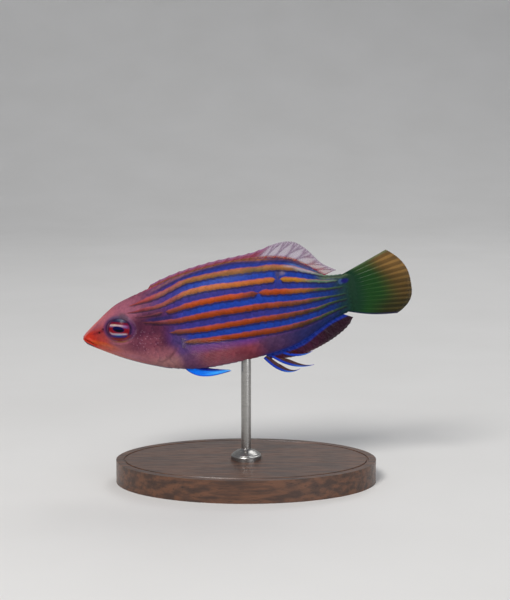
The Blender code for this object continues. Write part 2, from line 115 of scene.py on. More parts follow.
# Scales on the gill cover: their least way inside its edge, where they start and how high they reach
COVER_SCALES_IN = 0.45
COVER_SCALES_FRONT = 14.2
COVER_SCALES_TOP = 1.4
# Scales beyond it: their least way outside its edge, the nape's height and the trunk's front
SCALES_OUT = 0.7
NAPE_HEIGHT = 3.4
TRUNK_FRONT = 17.6
# The pale dots on the cheek, as a patch: middle, half length and height, turn and softness
CHEEK_DOTS = ((14.5, -2.8), (3.5, 2.7), -20.0, 0.4)

# Stripes: x, the thin line under the back fin, then the six stripes from the top
STRIPE_STATIONS = (
    (12.0, 6.7, 5.5, 4.1, 2.95, 1.9, -0.6, -3.0),
    (15.0, 7.6, 6.13, 4.35, 2.9, 1.6, -0.9, -3.4),
    (18.0, 8.45, 6.75, 4.47, 3.15, 1.15, -1.2, -3.7),
    (21.0, 9.45, 7.65, 5.37, 3.22, 0.9, -1.5, -3.95),
    (24.0, 10.25, 8.65, 6.38, 3.7, 0.97, -1.7, -4.15),
    (28.0, 10.9, 9.03, 6.76, 4.03, 1.15, -1.83, -4.45),
    (32.0, 11.0, 9.17, 6.68, 4.12, 1.12, -1.85, -4.57),
    (36.0, 11.0, 9.13, 6.4, 3.97, 0.99, -1.85, -4.7),
    (40.0, 10.85, 8.88, 6.28, 3.84, 0.92, -1.96, -4.86),
    (44.0, 10.5, 8.6, 5.98, 3.41, 0.53, -2.1, -4.94),
    (48.0, 9.6, 7.7, 5.25, 2.81, 0.16, -2.13, -4.74),
    (52.0, 7.1, 6.05, 4.24, 2.32, 0.16, -1.93, -4.1),
    (55.0, 5.2, 4.65, 3.55, 1.95, 0.1, -1.27, -3.3),
    (58.0, 4.7, 4.3, 3.35, 1.85, 0.15, -1.0, -2.65),
)
STRIPE_COUNT = 6
STRIPE_HALF = 0.205
NO_STRIPE = -0.2
# The skin is less glossy than the fins, so its colours are this much lighter
SKIN_LIFT = 0.006
# Where each stripe starts and ends, and how long it takes to reach its full width
STRIPE_RUNS = (
    (11.4, 59.6, 5.0), (10.8, 58.2, 4.0), (12.4, 59.4, 9.0),
    (14.0, 59.8, 6.0), (19.4, 59.8, 2.5), (22.2, 59.6, 2.5),
)
# How the stripes fade towards the head: a stripe's number, where it starts to change, where it has
# changed, and the colour there
STRIPE_FRONTS = (
    (1, 25.0, 22.5, (144, 86, 84)), (1, 19.0, 16.0, (146, 66, 68)),
    (2, 24.6, 22.2, (134, 72, 68)), (2, 18.5, 15.0, (118, 54, 62)),
    (3, 25.2, 22.4, (114, 60, 50)), (3, 20.6, 18.4, (98, 54, 68)),
    (4, 26.5, 22.0, (124, 62, 52)), (4, 22.0, 18.0, (94, 50, 60)),
    (5, 27.0, 22.0, (112, 64, 60)), (6, 27.0, 24.5, (126, 76, 54)),
)
# Breaks in a stripe: its number, x, half length and depth
STRIPE_BREAKS = ((2, 44.6, 0.7, 1.0), (3, 39.9, 0.6, 0.6), (3, 19.1, 0.5, 1.0))
TAIL_SPOT = (58.95, 2.9)
# The blue line above the anal fin
BELLY_LINE = (
    (38.0, -10.9), (42.0, -10.45), (46.0, -9.7), (50.0, -8.1), (54.0, -5.9), (58.5, -3.3),
)

# The flat layout's border and the share of the square that it leaves
UV_EDGE = 0.01
UV_SPAN = 0.98

# Scales: rows above the first stripe, along the stripes and below the sixth
ROWS_TOP = 4
ROWS_STRIPED = 10
ROWS_BELLY = 5
SCALE_PITCH = 1.6
SCALE_TAIL_PITCH = 0.95
SCALE_COVER = 1.06
SCALE_GRID = 6
SCALE_ROOT = -0.07
SCALE_TIP = 0.14
SCALE_SINK = 0.2
SCALE_DEPTH = 0.1
COAT_FRONT = 12.0
COAT_REAR = 60.4
SEED = 11

# The fish's sides, by the sign of y
SIDES = {-1: "left", 1: "right"}

# Fins: how deep their roots go into the body, and the rays' joints, in mm
FIN_SINK = 0.5
RAY_JOINTS = 0.3

DORSAL_START = 15.6
DORSAL_SPINES_END = 41.0
DORSAL_END = 54.4
DORSAL_SPINES = 9
DORSAL_RAYS = 11
DORSAL_MARGIN = (
    (15.6, 8.6), (18.5, 9.7), (24.0, 11.0), (31.0, 11.9), (40.0, 12.4),
    (46.0, 13.5), (49.5, 13.1), (52.0, 11.0), (54.5, 7.7), (57.5, 5.5),
)
DORSAL_LEAN = (1.2, 4.4)

ANAL_START = 38.8
ANAL_END = 57.0
ANAL_RAYS = 12
ANAL_MARGIN = (
    (40.2, -11.6), (45.0, -12.1), (49.4, -11.4), (53.2, -10.1), (56.5, -8.5), (58.7, -6.8), (59.6, -5.5),
)
ANAL_SPINES = (
    ((38.6, -11.3), (42.2, -16.6), (46.2, -15.0)),
    ((40.4, -11.3), (44.5, -15.2), (49.4, -14.6)),
    ((43.0, -11.0), (46.5, -12.9), (49.6, -11.5)),
)
SPINE_WIDTH = 1.25

CAUDAL_RAYS = 13
CAUDAL_ROOT = (-4.0, 4.25)
CAUDAL_ROOT_THICKNESS = 2.6
CAUDAL_TIP_X = 73.4
CAUDAL_UPPER_CORNER = (69.0, 8.1)
CAUDAL_LOWER_CORNER = (69.4, -6.2)
CAUDAL_LOWER_BOW = 0.5

PECTORAL_ROOT = (22.3, -4.0)
PECTORAL_RAYS = 12
PECTORAL_LENGTH = 14.8
PECTORAL_LIFT = 1.6
PECTORAL_CLEAR = 1.2
PECTORAL_FAN = (-8.0, -52.0)
PECTORAL_SHORTEST = 5.3

PELVIC_ROOT = (21.2, 24.0)
PELVIC_RAYS = 6
PELVIC_TIP = (31.2, -12.55)
PELVIC_BOW = 1.65
# The far blade lies this much lower and further forward than the near one
PELVIC_FAR = (-0.5, -0.4)

# Stage, and its lights: name, place, size, power and colour
FLOOR_SIZE = 2.4
WALL_HEIGHT = 1.6
SWEEP = 0.6
LIGHTS = (
    ("key", (-0.24, -0.58, 0.6), 0.28, 5.2, (1.0, 0.98, 0.96)),
    ("fill", (0.5, -0.64, 0.08), 0.6, 2.3, (0.95, 0.97, 1.0)),
    ("rim", (0.2, 0.5, 0.6), 0.4, 1.1, (1.0, 1.0, 1.0)),
)
LIGHTS_MEET = (0.0, 0.0, 0.03)
SKY_COLOUR = (0.9, 0.93, 1.0, 1.0)
SKY_POWER = 0.3

# Camera, as the photo looks at the fish; the sensor's width in mm
LOOK_AT = (38.9, 0.0, 1.87)
CAMERA_DISTANCE = 0.3117
CAMERA_HEIGHT = math.radians(8.0)
CAMERA_LENS = 100.0
CAMERA_SENSOR = 36.0


def srgb(red, green, blue):
    """A colour in screen values, 0 to 255, as the shader's own numbers."""
    parts = np.array((red, green, blue)) / 255.0
    return np.where(parts > 0.04045, ((parts + 0.055) / 1.055) ** 2.4, parts / 12.92)


def seen(red, green, blue):
    """A colour as the photo shows it, less what gloss and pale surroundings add to it here."""
    return np.maximum(srgb(red, green, blue) * 1.04 - 0.014, 0.0015)


def soft(value, low, high):
    """0 below low, 1 above high, and smooth between them; low may be above high."""
    t = np.clip((value - low) / (high - low), 0.0, 1.0)
    return t * t * (3.0 - 2.0 * t)


def bell(value, width):
    """1 at zero, falling off smoothly on both sides."""
    return np.exp(-((value / width) ** 2))


def tinted(colours, other, amount):
    """Colours drawn towards another one, or towards an array of them."""
    return colours + (other - colours) * np.asarray(amount)[..., None]


def plain(colour, like):
    """One colour for every place in an array of places."""
    return np.broadcast_to(colour, np.shape(like) + (3,))


def painted(colours, *layers, tone=seen):
    """Colours drawn towards one tone after another; a layer is red, green, blue and its amount."""
    for *parts, amount in layers:
        colours = tinted(colours, tone(*parts), amount)
    return colours


def patch(x, z, centre, size, turn=0.0, edge=0.5):
    """A soft oval patch in the side view: 1 inside, 0 outside."""
    c, s = math.cos(math.radians(turn)), math.sin(math.radians(turn))
    dx, dz = x - centre[0], z - centre[1]
    away = np.hypot((dx * c + dz * s) / size[0], (dz * c - dx * s) / size[1])
    return 1.0 - soft(away, 1.0 - edge, 1.0 + edge)


def raised_ring(away, at, height, width):
    """A soft ring, raised or sunk by height, at a distance from its middle."""
    return height * bell(away - at, width)


def smooth_through(points, x, column=1):
    """Smooth curve through the stations: a cubic whose slope at each is that of its neighbours."""
    table = np.array(points)
    xs, ys = table[:, 0], table[:, column]
    ahead = np.minimum(np.arange(len(xs)) + 1, len(xs) - 1)
    behind = np.maximum(np.arange(len(xs)) - 1, 0)
    slopes = (ys[ahead] - ys[behind]) / (xs[ahead] - xs[behind])
    x = np.asarray(x, float)
    low = np.clip(np.searchsorted(xs, x) - 1, 0, len(xs) - 2)
    span = xs[low + 1] - xs[low]
    t = np.clip((x - xs[low]) / span, 0.0, 1.0)
    return (
        (2 * t**3 - 3 * t**2 + 1) * ys[low]
        + (t**3 - 2 * t**2 + t) * span * slopes[low]
        + (3 * t**2 - 2 * t**3) * ys[low + 1]
        + (t**3 - t**2) * span * slopes[low + 1]
    )


def snout_rounding(x):
    """How much of its size the section keeps near the tip of the snout."""
    short = np.maximum(1.0 - np.maximum(x, 0.0) / SNOUT_ROUND, 0.0)
    return np.sqrt(1.0 - short * short)


def back(x):
    """Height of the back's ridge at x; past the stalk it spreads with the tail fin."""
    spread = 0.3 * np.maximum(x - STALK_END, 0.0)
    return smooth_through(BODY_STATIONS, x, 1) * snout_rounding(x) + spread


def belly(x):
    """Height of the belly's lowest line at x."""
    spread = 0.1 * np.maximum(x - STALK_END, 0.0)
    return smooth_through(BODY_STATIONS, x, 2) * snout_rounding(x) - spread


def middle(x):
    """Height half way between back and belly at x."""
    return 0.5 * (back(x) + belly(x))


def half_width(x):
    """Half of the body's greatest width at x, closing where the skin runs out on the tail fin."""
    closing = soft(x, SKIN_END, STALK_END - 2.0)
    return smooth_through(BODY_STATIONS, x, 3) * snout_rounding(x) * closing


def flank(x, z):
    """Half width of the body at height z."""
    centre = middle(x)
    reach = np.where(z > centre, back(x) - centre, centre - belly(x))
    level = np.clip((z - centre) / reach, -1.0, 1.0)
    return half_width(x) * (1.0 - level * level) ** (0.5 * (FLANK_POWER + BACK_POWER * level))


def mouth_line(x):
    """Height of the mouth's line at x."""
    (x0, z0), (x1, z1) = MOUTH_FRONT, MOUTH_CORNER
    return z0 + (z1 - z0) * (x - x0) / (x1 - x0)


def lip_swell(x, z):
    """Swelling of the lips on either side of the mouth's line."""
    away = np.abs(z - mouth_line(x)) / LIP_HEIGHT
    fade = np.clip((LIP_REACH - x) / LIP_FADE, 0.0, 1.0) * np.clip(x / 0.5, 0.0, 1.0)
    return LIP_SWELL * fade * np.exp(-((away - 0.7) ** 2) / 0.25)


def body_point(x, turn):
    """The body's surface at x, turned round from the back towards the fish's right."""
    x, turn = np.broadcast_arrays(np.asarray(x, float), np.asarray(turn, float))
    c, s = np.cos(turn), np.sin(turn)
    centre = middle(x)
    z = centre + np.where(c > 0, back(x) - centre, centre - belly(x)) * c
    y = half_width(x) * np.abs(s) ** (FLANK_POWER + BACK_POWER * c) + lip_swell(x, z) * np.abs(s)
    return np.stack((x, np.copysign(y, s), z), -1)


def unit(vectors):
    """Vectors drawn out or in to a length of one."""
    return vectors / np.linalg.norm(vectors, axis=-1, keepdims=True)


def body_normal(x, turn):
    """Outward normal of the body's surface."""
    step = 0.02
    along = body_point(x + step, turn) - body_point(x - step, turn)
    round_it = body_point(x, turn + step) - body_point(x, turn - step)
    normal = np.cross(along, round_it)
    normal /= np.linalg.norm(normal, axis=-1, keepdims=True) + 1e-12
    out = body_point(x, turn)
    out[..., 0] = 0.0
    out[..., 2] -= middle(x)
    facing = np.sum(normal * out, -1, keepdims=True)
    return np.where(facing < 0, -normal, normal)


def side_normal(x, z):
    """Outward normal of the body's right side at x and z."""
    step = 0.05
    slope_x = (flank(x + step, z) - flank(x - step, z)) / (2 * step)
    slope_z = (flank(x, z + step) - flank(x, z - step)) / (2 * step)
    return unit(np.stack((-slope_x, np.ones_like(slope_x), -slope_z), -1))


def to_side(points, side):
    """Mirror right-hand points to the side asked for: 1 right, -1 left."""
    return points * np.array((1.0, side, 1.0))


def to_world(points):
    """Points in fish millimetres, set nose down over the rod, in metres."""
    c, s = math.cos(NOSE_DOWN), math.sin(NOSE_DOWN)
    x, y, z = points[..., 0], points[..., 1], points[..., 2]
    turned = np.stack((x * c - z * s, y, x * s + z * c), -1)
    return turned * MM + FISH_PLACE


def fish_place():
    """Where the fish's own origin stands: its belly is one gap above the rod."""
    c, s = math.cos(NOSE_DOWN), math.sin(NOSE_DOWN)
    low = float(belly(ROD_X))
    x = -(ROD_X * c - low * s)
    z = ROD_TOP + GAP - (ROD_X * s + low * c)
    return np.array((x, 0.0, z)) * MM


FISH_PLACE = fish_place()


def eye_frame(side):
    """An eye's place on the skin, its outward axis, and the two directions across it."""
    axis = to_side(side_normal(np.array(EYE_X), np.array(EYE_Z)), side)
    centre = np.array((EYE_X, side * float(flank(EYE_X, EYE_Z)), EYE_Z))
    ahead = unit(np.array((1.0, 0.0, 0.0)) - axis[0] * axis)
    up = unit(np.array((0.0, 0.0, 1.0)) - axis[2] * axis - ahead[2] * ahead)
    return centre, axis, ahead, up


def levelled(across, over):
    """Directions across the eye turned level with the floor, as the fish hangs nose down."""
    c, s = math.cos(NOSE_DOWN), math.sin(NOSE_DOWN)
    return across * c - over * s, across * s + over * c


def opening_distance(across, over):
    """How far a place is from the middle of the eye's opening, which is wider than tall."""
    level, lift = levelled(across, over)
    return np.hypot(level, EYE_OVAL * (lift - EYE_RISE))


def cover_distance(x, z):
    """How far outside the gill cover's edge a place is, in mm; inside is negative."""
    dx, dz = x - COVER_CENTRE[0], z - COVER_CENTRE[1]
    long = np.where(dx > 0, COVER_REAR, COVER_FRONT)
    tall = np.where(dz > 0, COVER_UP, COVER_DOWN)
    away = np.hypot(dx / long, dz / tall)
    return (away - 1.0) * np.where(away > 0.05, np.hypot(dx, dz) / np.maximum(away, 0.05), 5.0)


def coat_amount(x, z):
    """1 where scales cover the skin, 0 on the bare head."""
    bare = np.minimum(1.0, soft(z, 2.5, 4.5) + soft(x, 17.0, 19.0))
    return soft(x, COAT_FRONT - 0.5, COAT_FRONT + 1.5) * bare * soft(cover_distance(x, z), -0.1, 0.1)


def head_relief(x, z, points):
    """How far the skin stands off the body's plain shape on the head, in mm."""
    lift = np.zeros_like(x)
    for side in SIDES:
        centre, axis, ahead, up = eye_frame(side)
        off = points - centre
        away = opening_distance(off @ ahead, off @ up)
        near = (np.sign(points[..., 1]) == side) & (np.abs(off @ axis) < 3.0)
        orbit = raised_ring(away, *ORBIT_RIDGE) + raised_ring(away, *ORBIT_GROOVE)
        orbit -= SOCKET_DEPTH * soft(away, *SOCKET_WALL)
        lift += np.where(near, orbit, 0.0)
    slit = np.abs(z - mouth_line(x)) * 0.81
    open_part = soft(x, MOUTH_CORNER[0] + 0.25, MOUTH_CORNER[0] - 0.35)
    lift -= MOUTH_DEPTH * bell(slit, MOUTH_SLIT) * open_part
    lift -= 0.08 * bell(np.hypot(x - MOUTH_CORNER[0] - 0.35, z - MOUTH_CORNER[1] + 0.3), 0.35)
    for hole_x, hole_z in NOSTRILS:
        away = np.hypot(x - hole_x, z - hole_z)
        lift += raised_ring(away, *NOSTRIL_RIM) + raised_ring(away, *NOSTRIL_HOLE)
    # The cheek's own plate edge, and soft folds under the eye and along the jaw
    cheek = np.hypot(x - 9.0, (z + 1.0) * 0.95)
    lift += 0.07 * bell(cheek - 5.2, 0.5) * soft(x, 9.5, 11.5) * soft(z, 3.0, 1.0)
    jaw = z - (-1.9 - 0.42 * (x - 2.6))
    lift -= 0.06 * bell(jaw, 0.22) * soft(x, 2.6, 3.6) * soft(x, 9.5, 7.5)
    # The gill cover's rear edge stands over a groove
    edge = cover_distance(x, z)
    rear = soft(x - COVER_CENTRE[0], -1.5, 1.0) * soft(z, 3.2, 0.4)
    flap = 0.12 * soft(edge, -2.2, -0.15) * (edge < 0) - 0.16 * bell(edge - 0.16, 0.2) * (edge >= 0)
    step = np.where(edge < 0, flap, 0.12 * soft(edge, 0.12, 0.0) + flap)
    return lift + step * rear


def stripe_lines(x):
    """Heights of the six stripes' middles at x."""
    return np.stack([smooth_through(STRIPE_STATIONS, x, 2 + k) for k in range(STRIPE_COUNT)])


def stripe_phase(x, z):
    """Which stripe a place is on: 1 to 6 on the stripes' middles, and between them in between."""
    lines = stripe_lines(x)
    phase = 1.0 + (lines[0] - z) / (lines[0] - lines[1])
    for k in range(1, STRIPE_COUNT - 1):
        step = (lines[k] - z) / (lines[k] - lines[k + 1])
        phase = np.where(z < lines[k], k + 1.0 + step, phase)
    return phase


def stripe_half(x, phase):
    """Half of the nearest stripe's width, as a share of the space from stripe to stripe."""
    number = np.clip(np.rint(phase), 1, STRIPE_COUNT).astype(int)
    start, end, fade = (np.array(STRIPE_RUNS)[number - 1, k] for k in range(3))
    half = STRIPE_HALF * (0.3 + 0.7 * soft(x, start, start + fade))
    half = NO_STRIPE + (half - NO_STRIPE) * soft(x, start - 1.2, start + 0.6)
    half *= 0.55 + 0.45 * soft(x, end - 2.0, end - 12.0)
    half *= 1.0 + 0.45 * bell(x - 54.5, 2.2) * (number == 2)
    half = NO_STRIPE + (half - NO_STRIPE) * soft(x, end + 0.6, end - 1.6)
    for which, place, long, depth in STRIPE_BREAKS:
        here = depth * bell(x - place, long) * (number == which)
        half = half + (0.35 * NO_STRIPE - half) * np.clip(here * 1.3, 0.0, 1.0)
    return np.where((phase > 0.55) & (phase < 6.45), half, NO_STRIPE)


def stripe_colour(x, phase):
    """The stripes' own colour: gold above, orange in the middle, russet below, grey-green at the tail."""
    number = np.clip(np.rint(phase), 1, STRIPE_COUNT)
    pale = np.maximum(soft(phase, 1.0, 0.9) * soft(x, 45.5, 47.5), soft(x, 47.5, 50.0))
    stalk = soft(x + 0.8 * (number == 2) - 1.6 * (number == 1), 49.0, 53.6)
    return painted(
        plain(seen(150, 98, 64), x),
        (112, 88, 60, 0.9 * bell(x - 40.2, 2.2)),
        (175, 99, 52, number == 2),
        (168, 72, 36, number == 3),
        (104, 58, 56, 0.9 * bell(x - 38.6, 2.5) * (number == 3)),
        (142, 90, 52, 0.8 * soft(x, 44.5, 49) * (number == 3)),
        (150, 64, 34, number > 3),
        (134, 61, 38, 0.8 * soft(x, 35, 39) * (number > 3)),
        *(
            (*front, 0.95 * soft(x, start, end) * (number == which))
            for which, start, end, front in STRIPE_FRONTS
        ),
        (98, 64, 52, 0.9 * soft(x, 40, 49) * (number > 3)),
        (74, 50, 42, 0.8 * soft(x, 45, 50) * (number > 4)),
        (172, 112, 44, soft(x, 42, 46) * (number == 2)),
        (154, 146, 158, pale * (number == 1)),
        (96, 116, 104, stalk * (number < 3)),
        (66, 78, 60, stalk * (number > 2)),
        (40, 66, 60, 0.8 * soft(x - 1.5 * (number < 3), 54, 58.5)),
    )


def ground_colour(x, z, phase):
    """The skin's colour between and beyond the stripes."""
    weave = 0.5 - 0.5 * np.cos(math.pi * (np.clip(phase, 1.0, 6.0) - 1.5))
    low = soft(phase, 6.1, 6.6)
    jaw = soft(z - belly(x), 1.3, 0.3) * soft(x, 2.4, 3.8) * soft(x, 15.0, 10.0)
    around = opening_distance(x - EYE_X, z - EYE_Z)
    olive = bell(around - 3.7, 0.22) * soft(z, -1.2, -2.1)
    behind = bell(around - 3.8, 0.2) * soft(x - EYE_X, 0.5, 2.0)
    line = z - smooth_through(BELLY_LINE, x)
    keel = soft(z - belly(x), 0.5, 0.1) * soft(x, 5.0, 9.0) * soft(x, 37.0, 30.0)
    colour = painted(
        plain(seen(32, 62, 148), x),
        (56, 50, 114, 0.1 + 0.8 * weave),
        (68, 48, 112, 0.75 * soft(x, 27, 19)),
        (16, 54, 130, 0.7 * soft(x, 38, 50)),
        # A light blue streak just above the first stripe near the tail: a painted highlight
        (92, 118, 172, 0.75 * bell(phase - 0.7, 0.16) * soft(x, 46, 49) * soft(x, 55, 52.5)),
        # Belly: purple under the last stripe, salmon in the middle, slate violet towards the rear
        (104, 60, 122, low),
        (126, 63, 74, low * soft(z, -6, -7.8)),
        (82, 58, 88, low * soft(x, 36, 41)),
        (44, 46, 90, low * soft(x, 41, 49)),
        (142, 84, 96, low * soft(z - belly(x), 2.4, 0.6) * soft(x, 38, 32)),
        # Shoulder, cheek and throat
        (80, 43, 60, soft(x, 23, 17) * soft(z, 5.2, 3)),
        # A bluish-purple band behind the gill cover, at the pectoral fin's root: painted shade
        (80, 62, 108, 0.85 * patch(x, z, (21.6, -4.6), (1.7, 3.6), 8)),
        (98, 70, 102, 0.8 * low * soft(x, 27, 23.5) * soft(z, -6, -7.4)),
        (108, 60, 74, soft(z, -0.6, -2.2) * soft(x, 18.6, 16.4)),
        (46, 42, 86, 0.9 * patch(x, z, (18.2, 1.93), (3.2, 0.5), -2)),
        (142, 88, 98, soft(z, -3.4, -6.2) * soft(x, 21.4, 18.8)),
        (156, 112, 114, soft(z, -6, -8.2) * soft(x, 22.2, 19.2)),
        (114, 68, 88, soft(x, 21, 13.5) * soft(z, 2.6, 5)),
        (148, 88, 104, soft(x, 15.5, 10.5) * soft(z - 0.35 * (x - 8), -0.2, 2.4)),
        (128, 76, 84, soft(x, 11.4, 8.6) * soft(z, 2, 0.4)),
        (164, 100, 104, soft(x, 17, 9) * soft(z + 0.42 * x, 0.8, -1.4)),
        # Snout: pink along its top, red at the tip, orange along the jaw
        (168, 66, 60, soft(x, 7, 4.6) * soft(z - 0.55 * x, 0.6, -1.4)),
        (184, 52, 38, soft(x, 4.9, 2.4) * soft(z - 0.25 * x, 1.1, 0.1)),
        (188, 82, 40, 0.75 * patch(x, z, (4.2, -1.9), (2.6, 0.55), -22)),
        (196, 112, 108, soft(z - back(x), -0.8, -0.1) * soft(x, 9, 4)),
        # Grey-brown below the mouth at the snout's tip: painted shade on the lower jaw
        (100, 76, 84, soft(z - mouth_line(x), -0.25, -0.6) * soft(x, 2.9, 1.9)),
        (206, 128, 112, 0.6 * jaw),
        (172, 98, 106, 0.7 * patch(x, z, (6, 3.5), (2.6, 0.9), 42, 0.8)),
        (172, 94, 78, 0.8 * patch(x, z, (5.9, -3), (2, 0.6), -24, 0.8)),
        (166, 110, 122, 0.7 * patch(x, z, (11.2, -6.1), (2.4, 0.6), -20, 0.8)),
        (120, 50, 52, 0.6 * patch(x, z, (4.5, 0.6), (1.9, 1.4), 10, 0.9)),
        (118, 32, 42, 0.7 * patch(x, z, (4.3, 0.9), (1.9, 0.3), 12)),
        *((70, 22, 28, patch(x, z, hole, (0.24, 0.24), 0, 0.4)) for hole in NOSTRILS),
        # Orbit: a dark rim and a violet ring, with an olive line under it
        (86, 52, 92, 0.85 * bell(around - 3.1, 0.5)),
        (46, 34, 60, 0.9 * bell(around - 2.75, 0.28)),
        (84, 80, 100, 0.7 * bell(around - 3.1, 0.5) * soft(z, 2.8, 3.8)),
        (82, 66, 76, 0.8 * patch(x, z, (10.1, 3.4), (1.2, 0.7), -35)),
        (122, 46, 34, 0.85 * bell(around - 2.9, 0.45) * soft(z, -0.3, -1)),
        (140, 94, 40, 0.85 * olive),
        (166, 96, 112, 0.5 * bell(around - 4.3, 0.22) * soft(z, -1.4, -2.4)),
        (112, 80, 106, 0.5 * behind),
        # Rear: a blue line above the anal fin, grey-green at the stalk, and the dark spot on its end
        (16, 60, 156, bell(line, 0.5) * soft(x, 37, 41) * soft(x, 56, 51)),
        (10, 32, 98, soft(line, -0.1, -0.9) * soft(x, 37, 41)),
        (18, 48, 98, 0.8 * soft(x, 50, 54)),
        (28, 52, 62, soft(x, 55, 58)),
        (22, 56, 42, soft(x, 57.6, 60.2)),
        (88, 104, 74, 0.9 * soft(x, 52, 55) * soft(z, 3.3, 4.3) * soft(x, 61, 58)),
        # The pale blue edge under the belly
        (74, 92, 134, 0.85 * keel),
    )
    # The thin brown line along the root of the back fin, under a pink ridge
    ridge = z - smooth_through(STRIPE_STATIONS, x, 1)
    here = soft(x, 14.0, 20.0) * soft(x, 54.0, 50.0)
    lift = 0.45 * bell(x - 35.0, 5.0)
    brown = plain(seen(130, 88, 92), x)
    brown = painted(brown, (128, 84, 56, soft(x, 27, 31)), (88, 62, 68, soft(x, 41, 45)))
    colour = tinted(colour, brown, bell(ridge + 0.25 - lift, 0.32) * here)
    colour = painted(
        colour,
        (50, 48, 74, 0.7 * bell(ridge + 0.75 - lift, 0.2) * here),
        (150, 70, 92, soft(ridge, 0, 0.25) * soft(x, 11, 18) * soft(x, 58.5, 56.5)),
        # The pale bridge where the second stripe breaks off
        (72, 66, 96, 0.9 * patch(x, z, (44.7, 6.85), (0.42, 1.2), -6)),
        (110, 100, 124, 0.9 * patch(x, z, (45.85, 7.25), (0.6, 0.62), -6)),
    )
    return tail_spot(colour, x, z)


def tail_spot(colour, x, z):
    """The dark blue spot on the root of the tail, shared by the skin and the tail fin."""
    return painted(
        colour,
        (70, 96, 140, 0.8 * patch(x, z, (58.1, TAIL_SPOT[1]), (0.5, 0.5))),
        (4, 26, 92, patch(x, z, TAIL_SPOT, (0.9, 0.5), 0, 0.4)),
    )


def add_value(mesh, name, values):
    """One number for each vertex."""
    layer = mesh.attributes.new(name, "FLOAT", "POINT")
    layer.data.foreach_set("value", np.ascontiguousarray(values, np.float32).ravel())


def add_colour(mesh, name, values):
    """One colour for each vertex."""
    layer = mesh.attributes.new(name, "FLOAT_COLOR", "POINT")
    full = np.concatenate((values, np.ones(values.shape[:-1] + (1,))), -1)
    layer.data.foreach_set("color", np.ascontiguousarray(full, np.float32).ravel())


def paint_skin(mesh, x, z, along, tone):
    """The markings that the skin and its scales share, from their place in the side view."""
    phase = stripe_phase(x, z)
    add_colour(mesh, "ground", ground_colour(x, z, phase) + SKIN_LIFT)
    add_colour(mesh, "warm", stripe_colour(x, phase) + SKIN_LIFT)
    add_value(mesh, "stripe", phase)
    add_value(mesh, "band", stripe_half(x, phase))
    add_value(mesh, "along", along)
    add_value(mesh, "tone", tone)
    add_value(mesh, "speckled", patch(x, z, *CHEEK_DOTS))


def vertex_places(obj):
    """A mesh's vertices as an array."""
    places = np.empty(len(obj.data.vertices) * 3)
    obj.data.vertices.foreach_get("co", places)
    return places.reshape(-1, 3)


def set_places(obj, places):
    """Move a mesh's vertices to places in metres."""
    obj.data.vertices.foreach_set("co", places.ravel())
    obj.data.update()


def edit(on):
    """Go into edit mode, or come back out of it."""
    bpy.ops.object.mode_set(mode="EDIT" if on else "OBJECT")


def named(name, material, slot, *nodes):
    """Finish the active piece: its name, material, body and the solids it stands for; the slot is not used.
    """
    obj = bpy.context.object
    obj.name = name
    obj.data.name = name
    obj.data.materials.clear()
    obj.data.materials.append(material)
    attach(obj, "root")
    if nodes:
        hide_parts(*nodes)
    obj.select_set(False)
    return obj


def ring_places():
    """Where along the fish the skin's rings stand: closest at the snout, close on the head."""
    tip = SNOUT_ROUND * (1.0 - np.cos(np.linspace(0.0, 0.5 * math.pi, 13)[1:]))
    lips = np.arange(SNOUT_ROUND + 0.07, 3.5, 0.07)
    head = np.arange(lips[-1] + 0.13, 22.6, 0.13)
    trunk = np.arange(head[-1] + 0.33, 58.4, 0.33)
    end = np.linspace(trunk[-1], SKIN_END, 14)[1:-1]
    return np.concatenate((tip, lips, head, trunk, end))


def make_skin(material):
    """One skin over head, gill covers, trunk and stalk, from a ball drawn out to the fish's shape."""
    rings = ring_places()
    count = len(rings) + 1
    bpy.ops.mesh.primitive_uv_sphere_add(segments=SKIN_AROUND, ring_count=count, radius=1.0)
    obj = bpy.context.object
    ball = vertex_places(obj)
    ring = np.rint(np.arccos(np.clip(ball[:, 2], -1.0, 1.0)) / math.pi * count).astype(int)
    turn = np.arctan2(ball[:, 1], ball[:, 0])
    x = np.concatenate(((0.0,), rings, (SKIN_END,)))[ring]
    points = body_point(x, turn)
    normal = body_normal(x, turn)
    z = points[:, 2].copy()
    lift = head_relief(x, z, points) - SCALE_DEPTH * coat_amount(x, z)
    points += normal * lift[:, None]
    points[ring == 0] = (0.0, 0.0, SNOUT_TIP_Z)
    points[ring == count] = (SKIN_END, 0.0, float(middle(SKIN_END)))
    paint_skin(obj.data, x, z, np.full(len(x), 0.5), np.zeros(len(x)))
    unwrap_skin(obj.data, ring / count, turn)
    set_places(obj, to_world(points))
    bpy.ops.object.shade_smooth()
    nodes = ("head", "gill_cover_left", "gill_cover_right", "torso", "tail_stalk")
    return named("skin", material, "skin", *nodes)


def unwrap_skin(mesh, ring, turn):
    """The skin laid flat: its rings side by side, slit along the belly."""
    while mesh.uv_layers:
        mesh.uv_layers.remove(mesh.uv_layers[0])
    layer = mesh.uv_layers.new(name="OFBake")
    corners = np.empty(len(mesh.loops), np.int32)
    mesh.loops.foreach_get("vertex_index", corners)
    starts = np.array([face.loop_start for face in mesh.polygons])
    totals = np.array([face.loop_total for face in mesh.polygons])
    face_of = np.repeat(np.arange(len(starts)), totals)
    pole = (ring[corners] <= 0.0) | (ring[corners] >= 1.0)
    angle = turn[corners]
    inner = np.where(pole | (np.abs(angle) > 3.1), 0.0, angle)
    lean = np.add.reduceat(inner, starts)[face_of]
    angle = np.where(np.abs(angle) > 3.1, np.copysign(math.pi, lean), angle)
    share = np.add.reduceat(np.where(pole, 0.0, angle), starts) / np.maximum(
        np.add.reduceat((~pole).astype(float), starts), 1.0
    )
    angle = np.where(pole, share[face_of], angle)
    flat = np.stack((UV_EDGE + UV_SPAN * ring[corners], 0.5 + UV_SPAN * angle / (2.0 * math.pi)), -1)
    layer.data.foreach_set("uv", flat.astype(np.float32).ravel())


